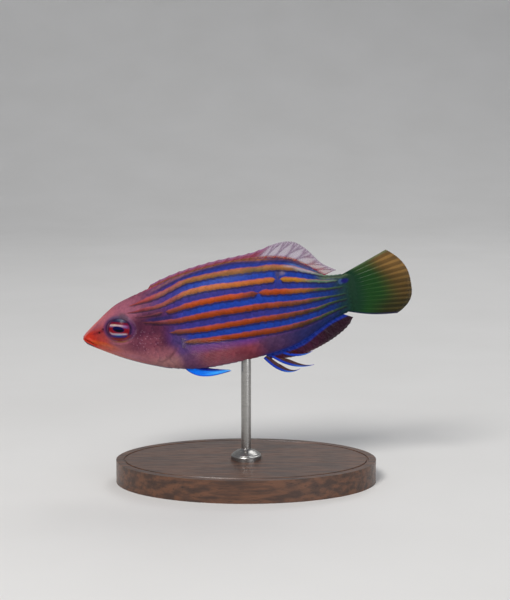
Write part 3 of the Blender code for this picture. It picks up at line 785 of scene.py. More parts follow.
def scale_rows():
    """A table from place along the fish and row number to the turn round the body."""
    xs = np.linspace(COAT_FRONT - 5.0, COAT_REAR + 0.5, 150)
    rows = np.linspace(0.0, ROWS_TOP + ROWS_STRIPED + ROWS_BELLY, 153)
    turns = np.linspace(0.0, math.pi, 241)
    table = np.empty((len(xs), len(rows)))
    for i, x in enumerate(xs):
        ring = body_point(x, turns)
        arc = np.concatenate(((0.0,), np.cumsum(np.linalg.norm(np.diff(ring, axis=0), axis=1))))
        lines = stripe_lines(np.array(x))
        heights = np.interp(np.linspace(0, 5, ROWS_STRIPED + 1), np.arange(STRIPE_COUNT), lines)
        knots = np.interp(-heights, -ring[:, 2], arc)
        marks = np.concatenate(((0.0,), ROWS_TOP + np.arange(ROWS_STRIPED + 1), (rows[-1],)))
        places = np.interp(rows, marks, np.concatenate(((0.0,), knots, (arc[-1],))))
        even = rows / rows[-1] * arc[-1]
        places += (even - places) * (0.25 + 0.75 * soft(x, 45.0, 56.0))
        table[i] = np.interp(places, arc, turns)
    return xs, rows, table


def turn_at(rows_table, x, row):
    """The turn round the body for scale rows, read from the table; past the ridge it is mirrored."""
    xs, rows, table = rows_table
    last = rows[-1]
    folded = np.abs(row)
    over = folded > last
    folded = np.where(over, 2.0 * last - folded, folded)
    i = np.clip((x - xs[0]) / (xs[1] - xs[0]), 0.0, len(xs) - 1.001)
    j = np.clip(folded / (rows[1] - rows[0]), 0.0, len(rows) - 1.001)
    i0, j0 = i.astype(int), j.astype(int)
    fi, fj = i - i0, j - j0
    turn = (table[i0, j0] * (1 - fj) + table[i0, j0 + 1] * fj) * (1 - fi)
    turn += (table[i0 + 1, j0] * (1 - fj) + table[i0 + 1, j0 + 1] * fj) * fi
    turn = np.where(over, 2.0 * math.pi - turn, turn)
    return np.where(row < 0, -turn, turn)


def scale_template():
    """One scale, modelled once: a rounded sheet closed below by a fan to a sunken point."""
    bpy.ops.mesh.primitive_grid_add(x_subdivisions=SCALE_GRID, y_subdivisions=SCALE_GRID, size=2.0)
    obj = bpy.context.object
    edit(True)
    bpy.ops.mesh.select_all(action="SELECT")
    bpy.ops.mesh.region_to_loop()
    bpy.ops.mesh.extrude_region_move(TRANSFORM_OT_translate={"value": (0.0, 0.0, -1.0)})
    bpy.ops.mesh.merge(type="CENTER")
    bpy.ops.mesh.select_all(action="SELECT")
    bpy.ops.mesh.normals_make_consistent(inside=False)
    edit(False)
    square = vertex_places(obj)
    p, q = square[:, 0], square[:, 1]
    disc = np.stack((p * np.sqrt(1.0 - 0.5 * q * q), q * np.sqrt(1.0 - 0.5 * p * p)), -1)
    faces = [tuple(face.vertices) for face in obj.data.polygons]
    bpy.data.objects.remove(obj)
    return disc, square[:, 2] < -0.5, faces


def scale_columns():
    """Where the scales' tips stand along the fish, each with its pitch there."""
    places = []
    x = COAT_FRONT
    while x < COAT_REAR:
        pitch = SCALE_PITCH + (SCALE_TAIL_PITCH - SCALE_PITCH) * float(soft(x, 42.0, 58.0))
        pitch *= 1.0 - 0.25 * float(soft(x, 20.0, 13.0))
        places.append((x, pitch))
        x += pitch
    return places


def scale_kept(x, z):
    """Whether a scale's tip may stand here: on the gill cover, or behind it and on the nape."""
    edge = float(cover_distance(x, z))
    if edge < 0.0:
        return edge < -COVER_SCALES_IN and x > COVER_SCALES_FRONT and z < COVER_SCALES_TOP
    nape = z > NAPE_HEIGHT and x > COAT_FRONT + 0.6
    return edge > SCALES_OUT and (nape or x > TRUNK_FRONT)


def make_scales(name, side, template, rows_table, material):
    """The overlapping scales of one side, joined into one mesh."""
    disc, hub, faces = template
    rng = np.random.default_rng(SEED)
    last = ROWS_TOP + ROWS_STRIPED + ROWS_BELLY
    points, alongs, tones, uvs = [], [], [], []
    for row in range(last):
        for x_tip, pitch in scale_columns():
            x_tip += 0.5 * pitch * (row % 2) + rng.uniform(-0.03, 0.03)
            centre = body_point(x_tip, turn_at(rows_table, np.array(x_tip), np.array(row + 0.5)))
            keep = scale_kept(x_tip, centre[2]) and x_tip < COAT_REAR
            size = rng.uniform(0.97, 1.03)
            rise = rng.uniform(-0.012, 0.012)
            if not keep:
                continue
            long = 1.05 * pitch * size
            x = x_tip - long + long * disc[:, 0]
            across = row + 0.5 + SCALE_COVER * size * disc[:, 1]
            turn = turn_at(rows_table, x, across)
            skin = body_point(x, turn)
            on_cover = cover_distance(x_tip, centre[2]) < 0.0
            base = head_relief(x, skin[:, 2], skin) - SCALE_DEPTH * coat_amount(x, skin[:, 2])
            along = 0.5 * (disc[:, 0] + 1.0)
            lift = SCALE_ROOT + (SCALE_TIP - SCALE_ROOT) * along**0.9 + rise - 0.03 * disc[:, 1] ** 2
            lift = np.where(hub, -SCALE_SINK, lift) * (0.6 if on_cover else 1.0) + base
            shown = skin + body_normal(x, turn) * lift[:, None]
            points.append(to_side(shown, side))
            tones.append(np.full(len(along), rng.uniform(-1.0, 1.0)))
            alongs.append(along)
            place = np.array(((x_tip - COAT_FRONT) / (COAT_REAR - COAT_FRONT), (row + 0.5) / last))
            uvs.append(UV_EDGE + UV_SPAN * place + 0.0015 * disc)
    build_scales(name, side, points, alongs, tones, uvs, faces)
    return named(name, material, "skin")


def build_scales(name, side, points, alongs, tones, uvs, faces):
    """One mesh of all the scales, each a copy of the template set in its place."""
    count = len(points[0])
    copies = len(points)
    points = np.concatenate(points)
    order = [face[::-1] if side < 0 else face for face in faces]
    all_faces = [tuple(v + count * k for v in face) for k in range(copies) for face in order]
    mesh = bpy.data.meshes.new(name)
    mesh.from_pydata(to_world(points), [], all_faces)
    obj = bpy.data.objects.new(name, mesh)
    bpy.context.scene.collection.objects.link(obj)
    bpy.context.view_layer.objects.active = obj
    obj.select_set(True)
    paint_skin(mesh, points[:, 0], points[:, 2], np.concatenate(alongs), np.concatenate(tones))
    corners = np.empty(len(mesh.loops), np.int32)
    mesh.loops.foreach_get("vertex_index", corners)
    layer = mesh.uv_layers.new(name="OFBake")
    layer.data.foreach_set("uv", np.concatenate(uvs)[corners].astype(np.float32).ravel())
    bpy.ops.object.shade_smooth_by_angle(angle=math.radians(50.0))


class Finish:
    """One procedural material: each method adds a node and gives back its output."""

    def __init__(self, name):
        self.material = bpy.data.materials.new(name)
        self.material.use_nodes = True
        self.tree = self.material.node_tree
        self.shader = self.tree.nodes["Principled BSDF"]

    def feed(self, socket, value):
        """Link an output to a socket, or set the socket's own value."""
        if isinstance(value, bpy.types.NodeSocket):
            self.tree.links.new(value, socket)
        else:
            socket.default_value = value

    def set(self, **values):
        """Set or link the shader's sockets, named with underscores."""
        for name, value in values.items():
            self.feed(self.shader.inputs[name.replace("_", " ").title().replace("Ior", "IOR")], value)

    def node(self, kind, output, inputs, **settings):
        """Add one node, with its settings and inputs, and give back one of its outputs."""
        made = self.tree.nodes.new("ShaderNode" + kind)
        for name, value in settings.items():
            setattr(made, name, value)
        for name, value in inputs.items():
            self.feed(made.inputs[name], value)
        return made.outputs[output]

    def math(self, operation, *values):
        """One Math node."""
        return self.node("Math", 0, dict(enumerate(values)), operation=operation)

    def times(self, first, *others):
        """The product of two or more values."""
        for other in others:
            first = self.math("MULTIPLY", first, other)
        return first

    def plus(self, first, second):
        """The sum of two values."""
        return self.math("ADD", first, second)

    def minus(self, first, second):
        """The first value less the second."""
        return self.math("SUBTRACT", first, second)

    def ease(self, value, low, high, to_low=0.0, to_high=1.0):
        """A smooth step from low to high."""
        names = ("Value", "From Min", "From Max", "To Min", "To Max")
        inputs = dict(zip(names, (value, low, high, to_low, to_high)))
        return self.node("MapRange", "Result", inputs, interpolation_type="SMOOTHSTEP")

    def mix(self, amount, first, second, blend="MIX"):
        """Mix two colours."""
        first, second = ((*c, 1.0) if isinstance(c, np.ndarray) else c for c in (first, second))
        return self.node("Mix", 2, {0: amount, 6: first, 7: second}, data_type="RGBA", blend_type=blend)

    def shaded(self, amount, colour, factors):
        """A colour multiplied by three factors, by some amount."""
        return self.mix(amount, colour, (*factors, 1.0), "MULTIPLY")

    def attribute(self, name, output="Fac"):
        """A value or a colour stored on the mesh."""
        return self.node("Attribute", output, {}, attribute_name=name)

    def place(self, stretch=(1.0, 1.0, 1.0), turn=(0.0, NOSE_DOWN, 0.0)):
        """The surface's own place, in millimetres, turned to the fish's axes."""
        where = self.node("TexCoord", "Object", {})
        scale = tuple(s / MM for s in stretch)
        return self.node("Mapping", "Vector", {"Vector": where, "Rotation": turn, "Scale": scale})

    def noise(self, where, scale, detail=2.0, output="Fac"):
        """A noise pattern with about scale lumps to the millimetre."""
        return self.node("TexNoise", output, {"Vector": where, "Scale": scale, "Detail": detail})

    def side_dots(self, scale):
        """Distance, in the side view, to the nearest of scattered points, scale to the millimetre."""
        where = self.place(turn=(0.5 * math.pi, 0.0, 0.0))
        return self.node("TexVoronoi", "Distance", {"Vector": where, "Scale": scale}, voronoi_dimensions="2D")

    def bump(self, height, depth):
        """Raise the surface by a height pattern, depth in millimetres."""
        inputs = {"Strength": 1.0, "Distance": depth * MM, "Height": height}
        self.set(normal=self.node("Bump", "Normal", inputs))


def skin_finish():
    """Moist scaled skin: stripes with pink upper and dark saw-edged lower borders on blue."""
    f = Finish("skin")
    where = f.place()
    along, tone, half = f.attribute("along"), f.attribute("tone"), f.attribute("band")
    wobble = f.times(f.minus(f.noise(where, 0.9), 0.5), 0.16)
    phase = f.plus(f.attribute("stripe"), wobble)
    off = f.minus(phase, f.math("ROUND", phase))
    lower = f.plus(half, f.times(f.minus(along, 0.45), 0.12))
    up = f.times(off, -1.0)
    inside_top = f.ease(f.minus(up, half), 0.06, -0.06)
    inside_low = f.ease(f.minus(off, lower), 0.05, -0.06)
    stripe = f.times(inside_top, inside_low)
    shade = f.noise(where, 1.6, 4.0)
    ground = f.shaded(f.ease(shade, 0.35, 0.75), f.attribute("ground", "Color"), (0.78, 0.78, 0.84))
    # Each scale is lighter towards its free edge: partly its own paler rim, partly painted shading from the
    # hidden root to the raised edge
    rim = f.ease(along, 0.5, 0.95, 0.0, 0.5)
    ground = f.shaded(rim, ground, (1.35, 1.3, 1.2))
    # A stripe is pink along its top and darkens towards its lower edge
    warm = f.shaded(f.ease(shade, 0.6, 0.35, 0.0, 0.4), f.attribute("warm", "Color"), (1.15, 1.35, 0.95))
    fall = f.math("DIVIDE", f.plus(off, half), f.math("MAXIMUM", f.times(half, 2.0), 0.05))
    warm = f.shaded(f.ease(fall, 0.3, 1.05), warm, (0.45, 0.52, 0.45))
    pink = f.times(f.ease(fall, 0.5, -0.1), f.ease(half, 0.11, 0.18, 0.0, 0.6))
    warm = f.mix(pink, warm, seen(166, 84, 92))
    # The dark border under a stripe, in teeth at the scales' tips
    outside = f.minus(off, lower)
    border = f.times(f.ease(outside, -0.08, 0.02), f.ease(outside, 0.2, 0.08))
    border = f.times(border, f.ease(half, 0.02, 0.12))
    border = f.times(border, f.ease(along, 0.1, 0.85, 0.5, 0.9))
    colour = f.mix(stripe, ground, warm)
    colour = f.mix(f.times(border, 0.8), colour, seen(46, 40, 52))
    # Pale dots on the cheek, and fine dark specks everywhere
    speckled = f.attribute("speckled")
    uneven = f.times(f.minus(f.noise(where, 2.6), 0.5), 0.35)
    dots = f.ease(f.plus(f.side_dots(1.45), uneven), 0.22, 0.06)
    few = f.ease(f.noise(where, 0.9), 0.4, 0.5)
    dots = f.times(dots, few, speckled)
    colour = f.mix(f.times(dots, 0.5), colour, seen(160, 122, 142))
    freckle = f.ease(f.noise(where, 1.7, 1.0), 0.58, 0.68)
    freckle = f.times(freckle, speckled, 0.5)
    colour = f.mix(freckle, colour, seen(84, 40, 60))
    specks = f.ease(f.noise(where, 5.0, 3.0), 0.6, 0.72, 0.0, 0.3)
    colour = f.shaded(specks, colour, (0.35, 0.25, 0.3))
    colour = f.shaded(f.ease(tone, 0.0, 1.0, 0.0, 0.3), colour, (1.4, 1.35, 1.3))
    colour = f.shaded(f.ease(tone, 0.0, -1.0, 0.0, 0.3), colour, (0.6, 0.64, 0.7))
    f.set(base_color=colour, coat_weight=0.03, coat_roughness=0.2, specular_ior_level=0.06)
    f.set(roughness=f.ease(shade, 0.3, 0.8, 0.42, 0.56))
    grain = f.plus(f.noise(where, 9.0, 3.0), f.times(f.noise(where, 2.2), 0.8))
    f.bump(grain, 0.035)
    return f.material


def fin_finish(name, coat, roughness):
    """A thin fin: its own tint and veil, with fine grain and the rays' joints."""
    f = Finish(name)
    where = f.place()
    grain = f.noise(where, 3.0, 3.0)
    tint = f.shaded(f.ease(grain, 0.3, 0.7, 0.0, 0.35), f.attribute("tint", "Color"), (0.62, 0.62, 0.66))
    joint = f.ease(f.math("FRACT", f.attribute("joint")), 0.72, 0.9)
    dark = f.times(joint, f.attribute("ray"), 0.3)
    tint = f.shaded(dark, tint, (0.25, 0.2, 0.22))
    f.set(base_color=tint, alpha=f.attribute("veil"), coat_weight=coat, coat_roughness=0.15)
    f.set(roughness=roughness, specular_ior_level=0.12)
    f.bump(f.noise(where, 6.0, 2.0), 0.02)
    return f.material


def eye_finish():
    """Polished cornea over the painted iris."""
    f = Finish("eye")
    fine = f.ease(f.noise(f.place(), 7.0, 3.0), 0.3, 0.75, 0.0, 0.4)
    tint = f.shaded(fine, f.attribute("tint", "Color"), (0.55, 0.5, 0.55))
    f.set(base_color=tint, roughness=0.3, specular_ior_level=0.06, coat_weight=0.05, coat_roughness=0.14)
    return f.material


def metal_finish():
    """Satin turned steel: fine rings round the rod."""
    f = Finish("rod_metal")
    rings = f.noise(f.place((0.15, 0.15, 6.0)), 2.0, 3.0)
    tone = f.mix(rings, srgb(176, 174, 170), srgb(146, 144, 142))
    f.set(base_color=tone, metallic=1.0, roughness=f.ease(rings, 0.3, 0.7, 0.24, 0.4))
    f.bump(rings, 0.01)
    return f.material


def wood_finish():
    """Dark stained hardwood, its grain along the base, under satin oil."""
    f = Finish("base_wood")
    where = f.place((0.12, 1.0, 1.0))
    wander = f.noise(where, 0.5, 3.0, "Color")
    warped = f.mix(0.12, where, wander, "LINEAR_LIGHT")
    rings = f.noise(warped, 0.9, 5.0)
    pores = f.noise(f.place((0.2, 3.2, 3.2)), 1.6, 2.0)
    tone = f.mix(f.ease(rings, 0.35, 0.65), srgb(58, 36, 25), srgb(98, 62, 40))
    tone = f.mix(f.ease(pores, 0.58, 0.72, 0.0, 0.7), tone, srgb(34, 20, 14))
    f.set(base_color=tone, roughness=f.ease(pores, 0.4, 0.7, 0.36, 0.52))
    f.set(coat_weight=0.25, coat_roughness=0.25)
    f.bump(f.minus(rings, f.times(pores, 0.6)), 0.05)
    return f.material


def past_ray(u, rays):
    """How far a place is past the ray in front of it, as a share of the way to the next."""
    return u * (rays - 1) - np.floor(u * (rays - 1))


def ray_ridge(u, v, rays, branching=1.0, width=0.15):
    """How much a place stands on a ray, 0 to 1; soft rays split twice towards the fin's edge."""
    off = u * (rays - 1) - np.rint(u * (rays - 1))
    first = 0.25 * soft(v, 0.3, 0.95) * branching
    second = 0.125 * soft(v, 0.58, 1.0) * branching
    nearest = np.full(np.shape(off), 9.0)
    for a in (-1, 1):
        for b in (-1, 1):
            nearest = np.minimum(nearest, np.abs(off - a * first - b * second))
    return bell(nearest, width * (1.0 - 0.5 * v * branching))


def fin_sheet(columns, rows, place, half, tint, veil, ray, length):
    """One fin: a grid shaped by place(u across the rays, v outwards), then thickened, half in mm."""
    bpy.ops.mesh.primitive_grid_add(x_subdivisions=columns, y_subdivisions=rows, size=1.0)
    obj = bpy.context.object
    flat = vertex_places(obj) + 0.5
    u, v = flat[:, 0], flat[:, 1]
    points = place(u, v)
    thick = half(u, v)
    group = obj.vertex_groups.new(name="thickness")
    most = float(thick.max())
    for i, share in enumerate(thick / most):
        group.add((i,), float(share), "REPLACE")
    add_colour(obj.data, "tint", tint(u, v, points))
    add_value(obj.data, "veil", np.clip(veil(u, v), 0.0, 1.0))
    add_value(obj.data, "ray", ray(u, v))
    add_value(obj.data, "joint", v * length / RAY_JOINTS)
    set_places(obj, to_world(points))
    modifier = obj.modifiers.new("thickness", "SOLIDIFY")
    modifier.thickness = 2.0 * most * MM
    modifier.offset = 0.0
    modifier.vertex_group = group.name
    modifier.thickness_vertex_group = 0.0
    bpy.context.view_layer.objects.active = obj
    bpy.ops.object.modifier_apply(modifier=modifier.name)
    obj.vertex_groups.clear()
    bpy.ops.object.shade_smooth()
    return obj


def join(objects):
    """Join the pieces of one fin into the first."""
    bpy.ops.object.select_all(action="DESELECT")
    for obj in objects:
        obj.select_set(True)
    bpy.context.view_layer.objects.active = objects[0]
    bpy.ops.object.join()


def make_dorsal_fin(material):
    """Nine spines and eleven soft rays, folded back; magenta in front, clear mauve behind."""
    rays = DORSAL_SPINES + DORSAL_RAYS

    def root_place(u):
        return DORSAL_START + (DORSAL_END - DORSAL_START) * u

    def soft_part(u):
        return soft(root_place(u), DORSAL_SPINES_END - 2.0, DORSAL_SPINES_END + 1.0)

    def place(u, v):
        root = root_place(u)
        tip = root + DORSAL_LEAN[0] + (DORSAL_LEAN[1] - DORSAL_LEAN[0]) * np.minimum(u / 0.8, 1.0)
        tip = np.minimum(tip, DORSAL_MARGIN[-1][0] - 0.6 * (1.0 - u))
        low = back(root) - FIN_SINK
        off = past_ray(u, rays)
        notch = 0.08 * np.sin(math.pi * off) ** 0.8 * (1.0 - soft_part(u))
        notch += 0.025 * np.abs(np.sin(4.0 * math.pi * off)) * soft_part(u)
        reach = v * (1.0 - notch)
        x = root + (tip - root) * reach
        z = low + (smooth_through(DORSAL_MARGIN, tip) - low) * reach
        wave = 0.1 * np.sin(2.0 * math.pi * u * 5.0) * v * soft_part(u)
        return np.stack((x, wave, np.maximum(z, back(x) - FIN_SINK)), -1)

    def ridge(u, v):
        spine = ray_ridge(u, v, rays, 0.0, 0.13)
        return spine + (ray_ridge(u, v, rays) - spine) * soft_part(u)

    def half(u, v):
        return (0.1 + 0.16 * ridge(u, v)) * (1.0 - 0.55 * v) + 0.1 * soft(v, 0.35, 0.0)

    def tint(u, v, points):
        x, above = points[:, 0], points[:, 2] - back(points[:, 0])
        rear = soft_part(u)
        colour = painted(
            plain(seen(138, 66, 86), u),
            (152, 96, 140, soft(v, 0.6, 0.95)),
            (150, 56, 76, 0.6 * ridge(u, v) * (1 - rear)),
            (130, 86, 52, soft(above, 0.3, 0.05)),
        )
        return painted(
            colour,
            (158, 128, 162, rear * soft(above, 0, 0.5)),
            (96, 62, 96, 0.7 * rear * ridge(u, v) * soft(above, 0, 0.5)),
            (150, 60, 44, rear * soft(above, 0.5, 0.1)),
            (140, 36, 62, soft(x, 50.5, 53) * soft(v, 1, 0.4)),
            tone=srgb,
        )

    def veil(u, v):
        rear = soft_part(u)
        front = 0.88 - 0.2 * soft(v, 0.5, 1.0)
        return front + (0.22 + 0.34 * ridge(u, v) + 0.45 * soft(v, 0.35, 0.08) - front) * rear

    fin_sheet((rays - 1) * 12, 26, place, half, tint, veil, ridge, 5.0)
    return named("dorsal_fin_sail", material, "back_fin", "dorsal_fin")


def make_anal_fin(material):
    """A dark red-purple fin with a blue base, behind three blue-edged flags with free tips."""

    def place(u, v):
        root = ANAL_START + (ANAL_END - ANAL_START) * u
        tip = ANAL_MARGIN[0][0] + (ANAL_MARGIN[-1][0] - ANAL_MARGIN[0][0]) * u
        low = belly(root) + FIN_SINK
        off = past_ray(u, ANAL_RAYS)
        reach = v * (1.0 - 0.03 * np.abs(np.sin(2.0 * math.pi * off)))
        x = root + (tip - root) * reach
        z = low + (smooth_through(ANAL_MARGIN, tip) - low) * reach
        wave = 0.1 * np.sin(2.0 * math.pi * u * 4.0) * v
        return np.stack((x, wave, np.minimum(z, belly(x) + FIN_SINK)), -1)

    def ridge(u, v):
        return ray_ridge(u, v, ANAL_RAYS)

    def half(u, v):
        return (0.1 + 0.15 * ridge(u, v)) * (1.0 - 0.55 * v) + 0.1 * soft(v, 0.35, 0.0)

    def tint(u, v, points):
        below = belly(points[:, 0]) - points[:, 2]
        return painted(
            plain(seen(64, 30, 50), u),
            (46, 22, 40, ridge(u, v) * 0.5),
            (78, 34, 52, soft(v, 0.75, 1) * 0.5),
            (46, 24, 40, 0.9 * soft(points[:, 0], 49, 54.5)),
            (16, 52, 140, soft(below, 0.95, 0.5)),
        )

    def veil(u, v):
        return 0.94 + 0.06 * ridge(u, v) - 0.14 * soft(v, 0.7, 1.0)

    sail = fin_sheet((ANAL_RAYS - 1) * 14, 22, place, half, tint, veil, ridge, 5.0)
    join([sail] + [anal_flag(curve) for curve in ANAL_SPINES])
    return named("anal_fin_sail", material, "anal_fin", "anal_fin")


def bend(curve, t):
    """Points on a curve through its root and tip, drawn towards its knee between them."""
    root, knee, tip = (np.array((x, 0.0, z)) for x, z in curve)
    t = np.asarray(t)[..., None]
    return (1 - t) ** 2 * root + 2 * t * (1 - t) * knee + t * t * tip


def anal_flag(curve):
    """One spine with the strip of membrane above it."""

    def place(u, v):
        centre = bend(curve, v)
        along = unit(bend(curve, np.minimum(v + 0.02, 1.0)) - bend(curve, np.maximum(v - 0.02, 0.0)))
        inward = np.stack((-along[:, 2], np.zeros(len(v)), along[:, 0]), -1)
        width = SPINE_WIDTH * (1.0 - 0.88 * soft(v, 0.35, 1.0))
        return centre + inward * (width * u)[:, None]

    def ridge(u, v):
        return bell(u - 0.14, 0.12)

    def half(u, v):
        return (0.09 + 0.19 * bell(u - 0.14, 0.16)) * (1.0 - 0.5 * v) * (0.4 + 0.6 * soft(1.0 - u, 0.0, 0.3))

    def tint(u, v, points):
        return painted(
            plain(seen(24, 62, 170), u),
            (60, 120, 210, soft(v, 0.4, 0.8)),
            (170, 156, 200, soft(v, 0.86, 0.99)),
            (70, 20, 28, soft(u, 0.32, 0.5) * soft(v, 0.98, 0.85)),
        )

    def veil(u, v):
        return 0.96 - 0.16 * soft(u, 0.3, 0.6)

    return fin_sheet(14, 60, place, half, tint, veil, ridge, 6.0)


def make_caudal_fin(material):
    """The tail fin: dark green at its root, olive and orange-brown behind, on thirteen rays."""

    def place(u, v):
        w = 2.0 * u - 1.0
        upper = w > 0
        corner_x = np.where(upper, CAUDAL_UPPER_CORNER[0], CAUDAL_LOWER_CORNER[0])
        corner_z = np.where(upper, CAUDAL_UPPER_CORNER[1], CAUDAL_LOWER_CORNER[1])
        tip_x = CAUDAL_TIP_X - (CAUDAL_TIP_X - corner_x) * np.abs(w) ** np.where(upper, 2.4, 3.0)
        off = past_ray(u, CAUDAL_RAYS)
        tip_x = tip_x - 0.1 * np.abs(np.sin(4.0 * math.pi * off)) ** 0.7
        tip_z = corner_z * np.abs(w) ** 0.95
        root_x = STALK_END - 0.9
        root_z = CAUDAL_ROOT[0] + 0.12 + (CAUDAL_ROOT[1] - CAUDAL_ROOT[0] - 0.3) * u
        x = root_x + (tip_x - root_x) * v
        z = root_z + (tip_z - root_z) * v - CAUDAL_LOWER_BOW * np.sin(math.pi * v) * np.maximum(-w, 0.0) ** 3
        wave = 0.18 * np.sin(2.6 * w + 0.8) * v**2 + 0.05 * np.sin(math.pi * 2.0 * off) * v
        return np.stack((x, wave, z), -1)

    def ridge(u, v):
        return ray_ridge(u, v, CAUDAL_RAYS, 0.3, 0.11)

    def half(u, v):
        w = 2.0 * u - 1.0
        flesh = 0.5 * (CAUDAL_ROOT_THICKNESS - 1.7) * np.sqrt(np.maximum(1.0 - 0.95 * w * w, 0.0))
        sheet = (0.13 + 0.09 * ridge(u, v) * soft(v, 0.12, 0.4)) * (1.0 - 0.6 * v)
        return sheet + flesh * np.maximum(1.0 - v / 0.26, 0.0) ** 1.4

    def tint(u, v, points):
        w = 2.0 * u - 1.0
        rays = ridge(u, v) * soft(v, 0.32, 0.62)
        colour = painted(
            plain(seen(22, 56, 42), u),
            (36, 66, 36, soft(v, 0.2, 0.42)),
            (74, 60, 38, soft(v + 0.1 * w, 0.5, 0.85)),
            (112, 86, 52, soft(v + 0.25 * w, 0.66, 1.05) * soft(w, -0.2, 0.6)),
            (46, 45, 32, 0.85 * soft(w, -0.2, -0.75) * soft(v, 0.35, 0.75)),
            (60, 76, 46, 0.6 * soft(w, 0.6, 0.9) * soft(v, 0.2, 0.4) * soft(v, 0.8, 0.5)),
        )
        colour = tinted(colour, colour * 1.7 + seen(46, 40, 22), 0.7 * rays)
        colour = tinted(colour, colour * 0.72, 0.5 * (1.0 - ridge(u, v)) * soft(v, 0.3, 0.6))
        colour = painted(
            colour,
            # A pale grey-green line along the upper edge: partly the fin's own pale margin, partly a painted
            # highlight
            (92, 112, 84, 0.7 * soft(w, 0.93, 0.99) * soft(v, 0.15, 0.35)),
            (24, 34, 66, 0.9 * soft(w, -0.93, -0.99)),
        )
        return tail_spot(colour, points[:, 0], points[:, 2])

    def veil(u, v):
        return 1.0 - 0.14 * soft(v, 0.85, 1.0)

    fin_sheet((CAUDAL_RAYS - 1) * 18, 90, place, half, tint, veil, ridge, 14.0)
    return named("caudal_fin_fan", material, "tail_fin", "caudal_fin")


def make_pectoral_fin(side, material):
    """A clear fan laid back along the flank, on fine pinkish rays."""

    def place(u, v):
        angle = np.radians(PECTORAL_FAN[0] + (PECTORAL_FAN[1] - PECTORAL_FAN[0]) * u)
        length = PECTORAL_LENGTH * (1.0 - 0.1 * (1.0 - u) ** 6)
        length = length - (PECTORAL_LENGTH - PECTORAL_SHORTEST) * u**1.9
        off = past_ray(u, PECTORAL_RAYS)
        length = length * (1.0 - 0.012 * np.abs(np.sin(4.0 * math.pi * off)))
        root_z = PECTORAL_ROOT[1] + 1.0 - 2.0 * u
        x = PECTORAL_ROOT[0] - 0.5 + (length + 0.5) * v * np.cos(angle)
        z = root_z + length * v * np.sin(angle)
        z = np.maximum(z, belly(x) + PECTORAL_CLEAR)
        normal = side_normal(x, z)
        away = -0.12 + 0.75 * soft(v, 0.0, 0.12) + PECTORAL_LIFT * v**1.3
        away = away + 0.07 * np.sin(2.0 * math.pi * off) * v
        points = np.stack((x, flank(x, z), z), -1) + normal * away[:, None]
        return to_side(points, side)

    def ridge(u, v):
        return ray_ridge(u, v, PECTORAL_RAYS, 1.0, 0.13)

    def half(u, v):
        return (0.07 + 0.14 * ridge(u, v)) * (1.0 - 0.6 * v) + 0.15 * soft(v, 0.1, 0.0)

    def tint(u, v, points):
        return painted(
            plain(srgb(206, 178, 192), u),
            (206, 138, 140, ridge(u, v)),
            (120, 112, 150, soft(v, 0.08, 0)),
            tone=srgb,
        )

    def veil(u, v):
        inner = 0.02 + 0.13 * ridge(u, v) * soft(v, 0.02, 0.3) * (1.0 - 0.7 * v)
        return inner * soft(v, 1.0, 0.6) * (0.15 + 0.85 * soft(u, 1.0, 0.7)) + 0.35 * soft(v, 0.08, 0.0)

    fin_sheet((PECTORAL_RAYS - 1) * 14, 56, place, half, tint, veil, ridge, PECTORAL_LENGTH)
    return named(f"pectoral_fan_{SIDES[side]}", material, "clear_fin", f"pectoral_fin_{SIDES[side]}")


def make_pelvic_fin(side, material):
    """A narrow azure blade folded back under the belly."""

    def place(u, v):
        root_x = PELVIC_ROOT[1] + (PELVIC_ROOT[0] - PELVIC_ROOT[1]) * u
        shift = PELVIC_FAR if side > 0 else (0.0, 0.0)
        tip_x = PELVIC_TIP[0] + shift[0] - 2.0 * (1.0 - u) ** 1.5
        tip_z = PELVIC_TIP[1] + shift[1] + 0.45 * (1.0 - u)
        root_z = belly(root_x) + 0.35
        x = root_x + (tip_x - root_x) * v
        z = root_z + (tip_z - root_z) * v - PELVIC_BOW * np.sin(math.pi * v**0.7) * u
        y = side * (0.9 + 0.5 * u * v + 0.3 * v)
        return np.stack((x, y, z), -1)

    def ridge(u, v):
        return ray_ridge(u, v, PELVIC_RAYS, 0.6, 0.16)

    def half(u, v):
        return (0.12 + 0.14 * ridge(u, v)) * (1.0 - 0.6 * v)

    def tint(u, v, points):
        colour = painted(
            plain(seen(12, 122, 240), u),
            (16, 36, 128, soft(u, 0.4, 0.12)),
            # A bright cyan streak along the blade: a painted highlight
            (70, 184, 255, 0.85 * bell(u - 0.62, 0.22) * soft(v, 0.25, 0.7)),
            (10, 60, 180, soft(u, 0.86, 0.98)),
        )
        return tinted(colour, srgb(140, 196, 240), soft(v, 0.93, 1.0) * 0.6)

    def veil(u, v):
        return 0.97 - 0.12 * soft(v, 0.6, 1.0)

    fin_sheet((PELVIC_RAYS - 1) * 12, 44, place, half, tint, veil, ridge, 8.0)
    return named(f"pelvic_blade_{SIDES[side]}", material, "belly_fin", f"pelvic_fin_{SIDES[side]}")


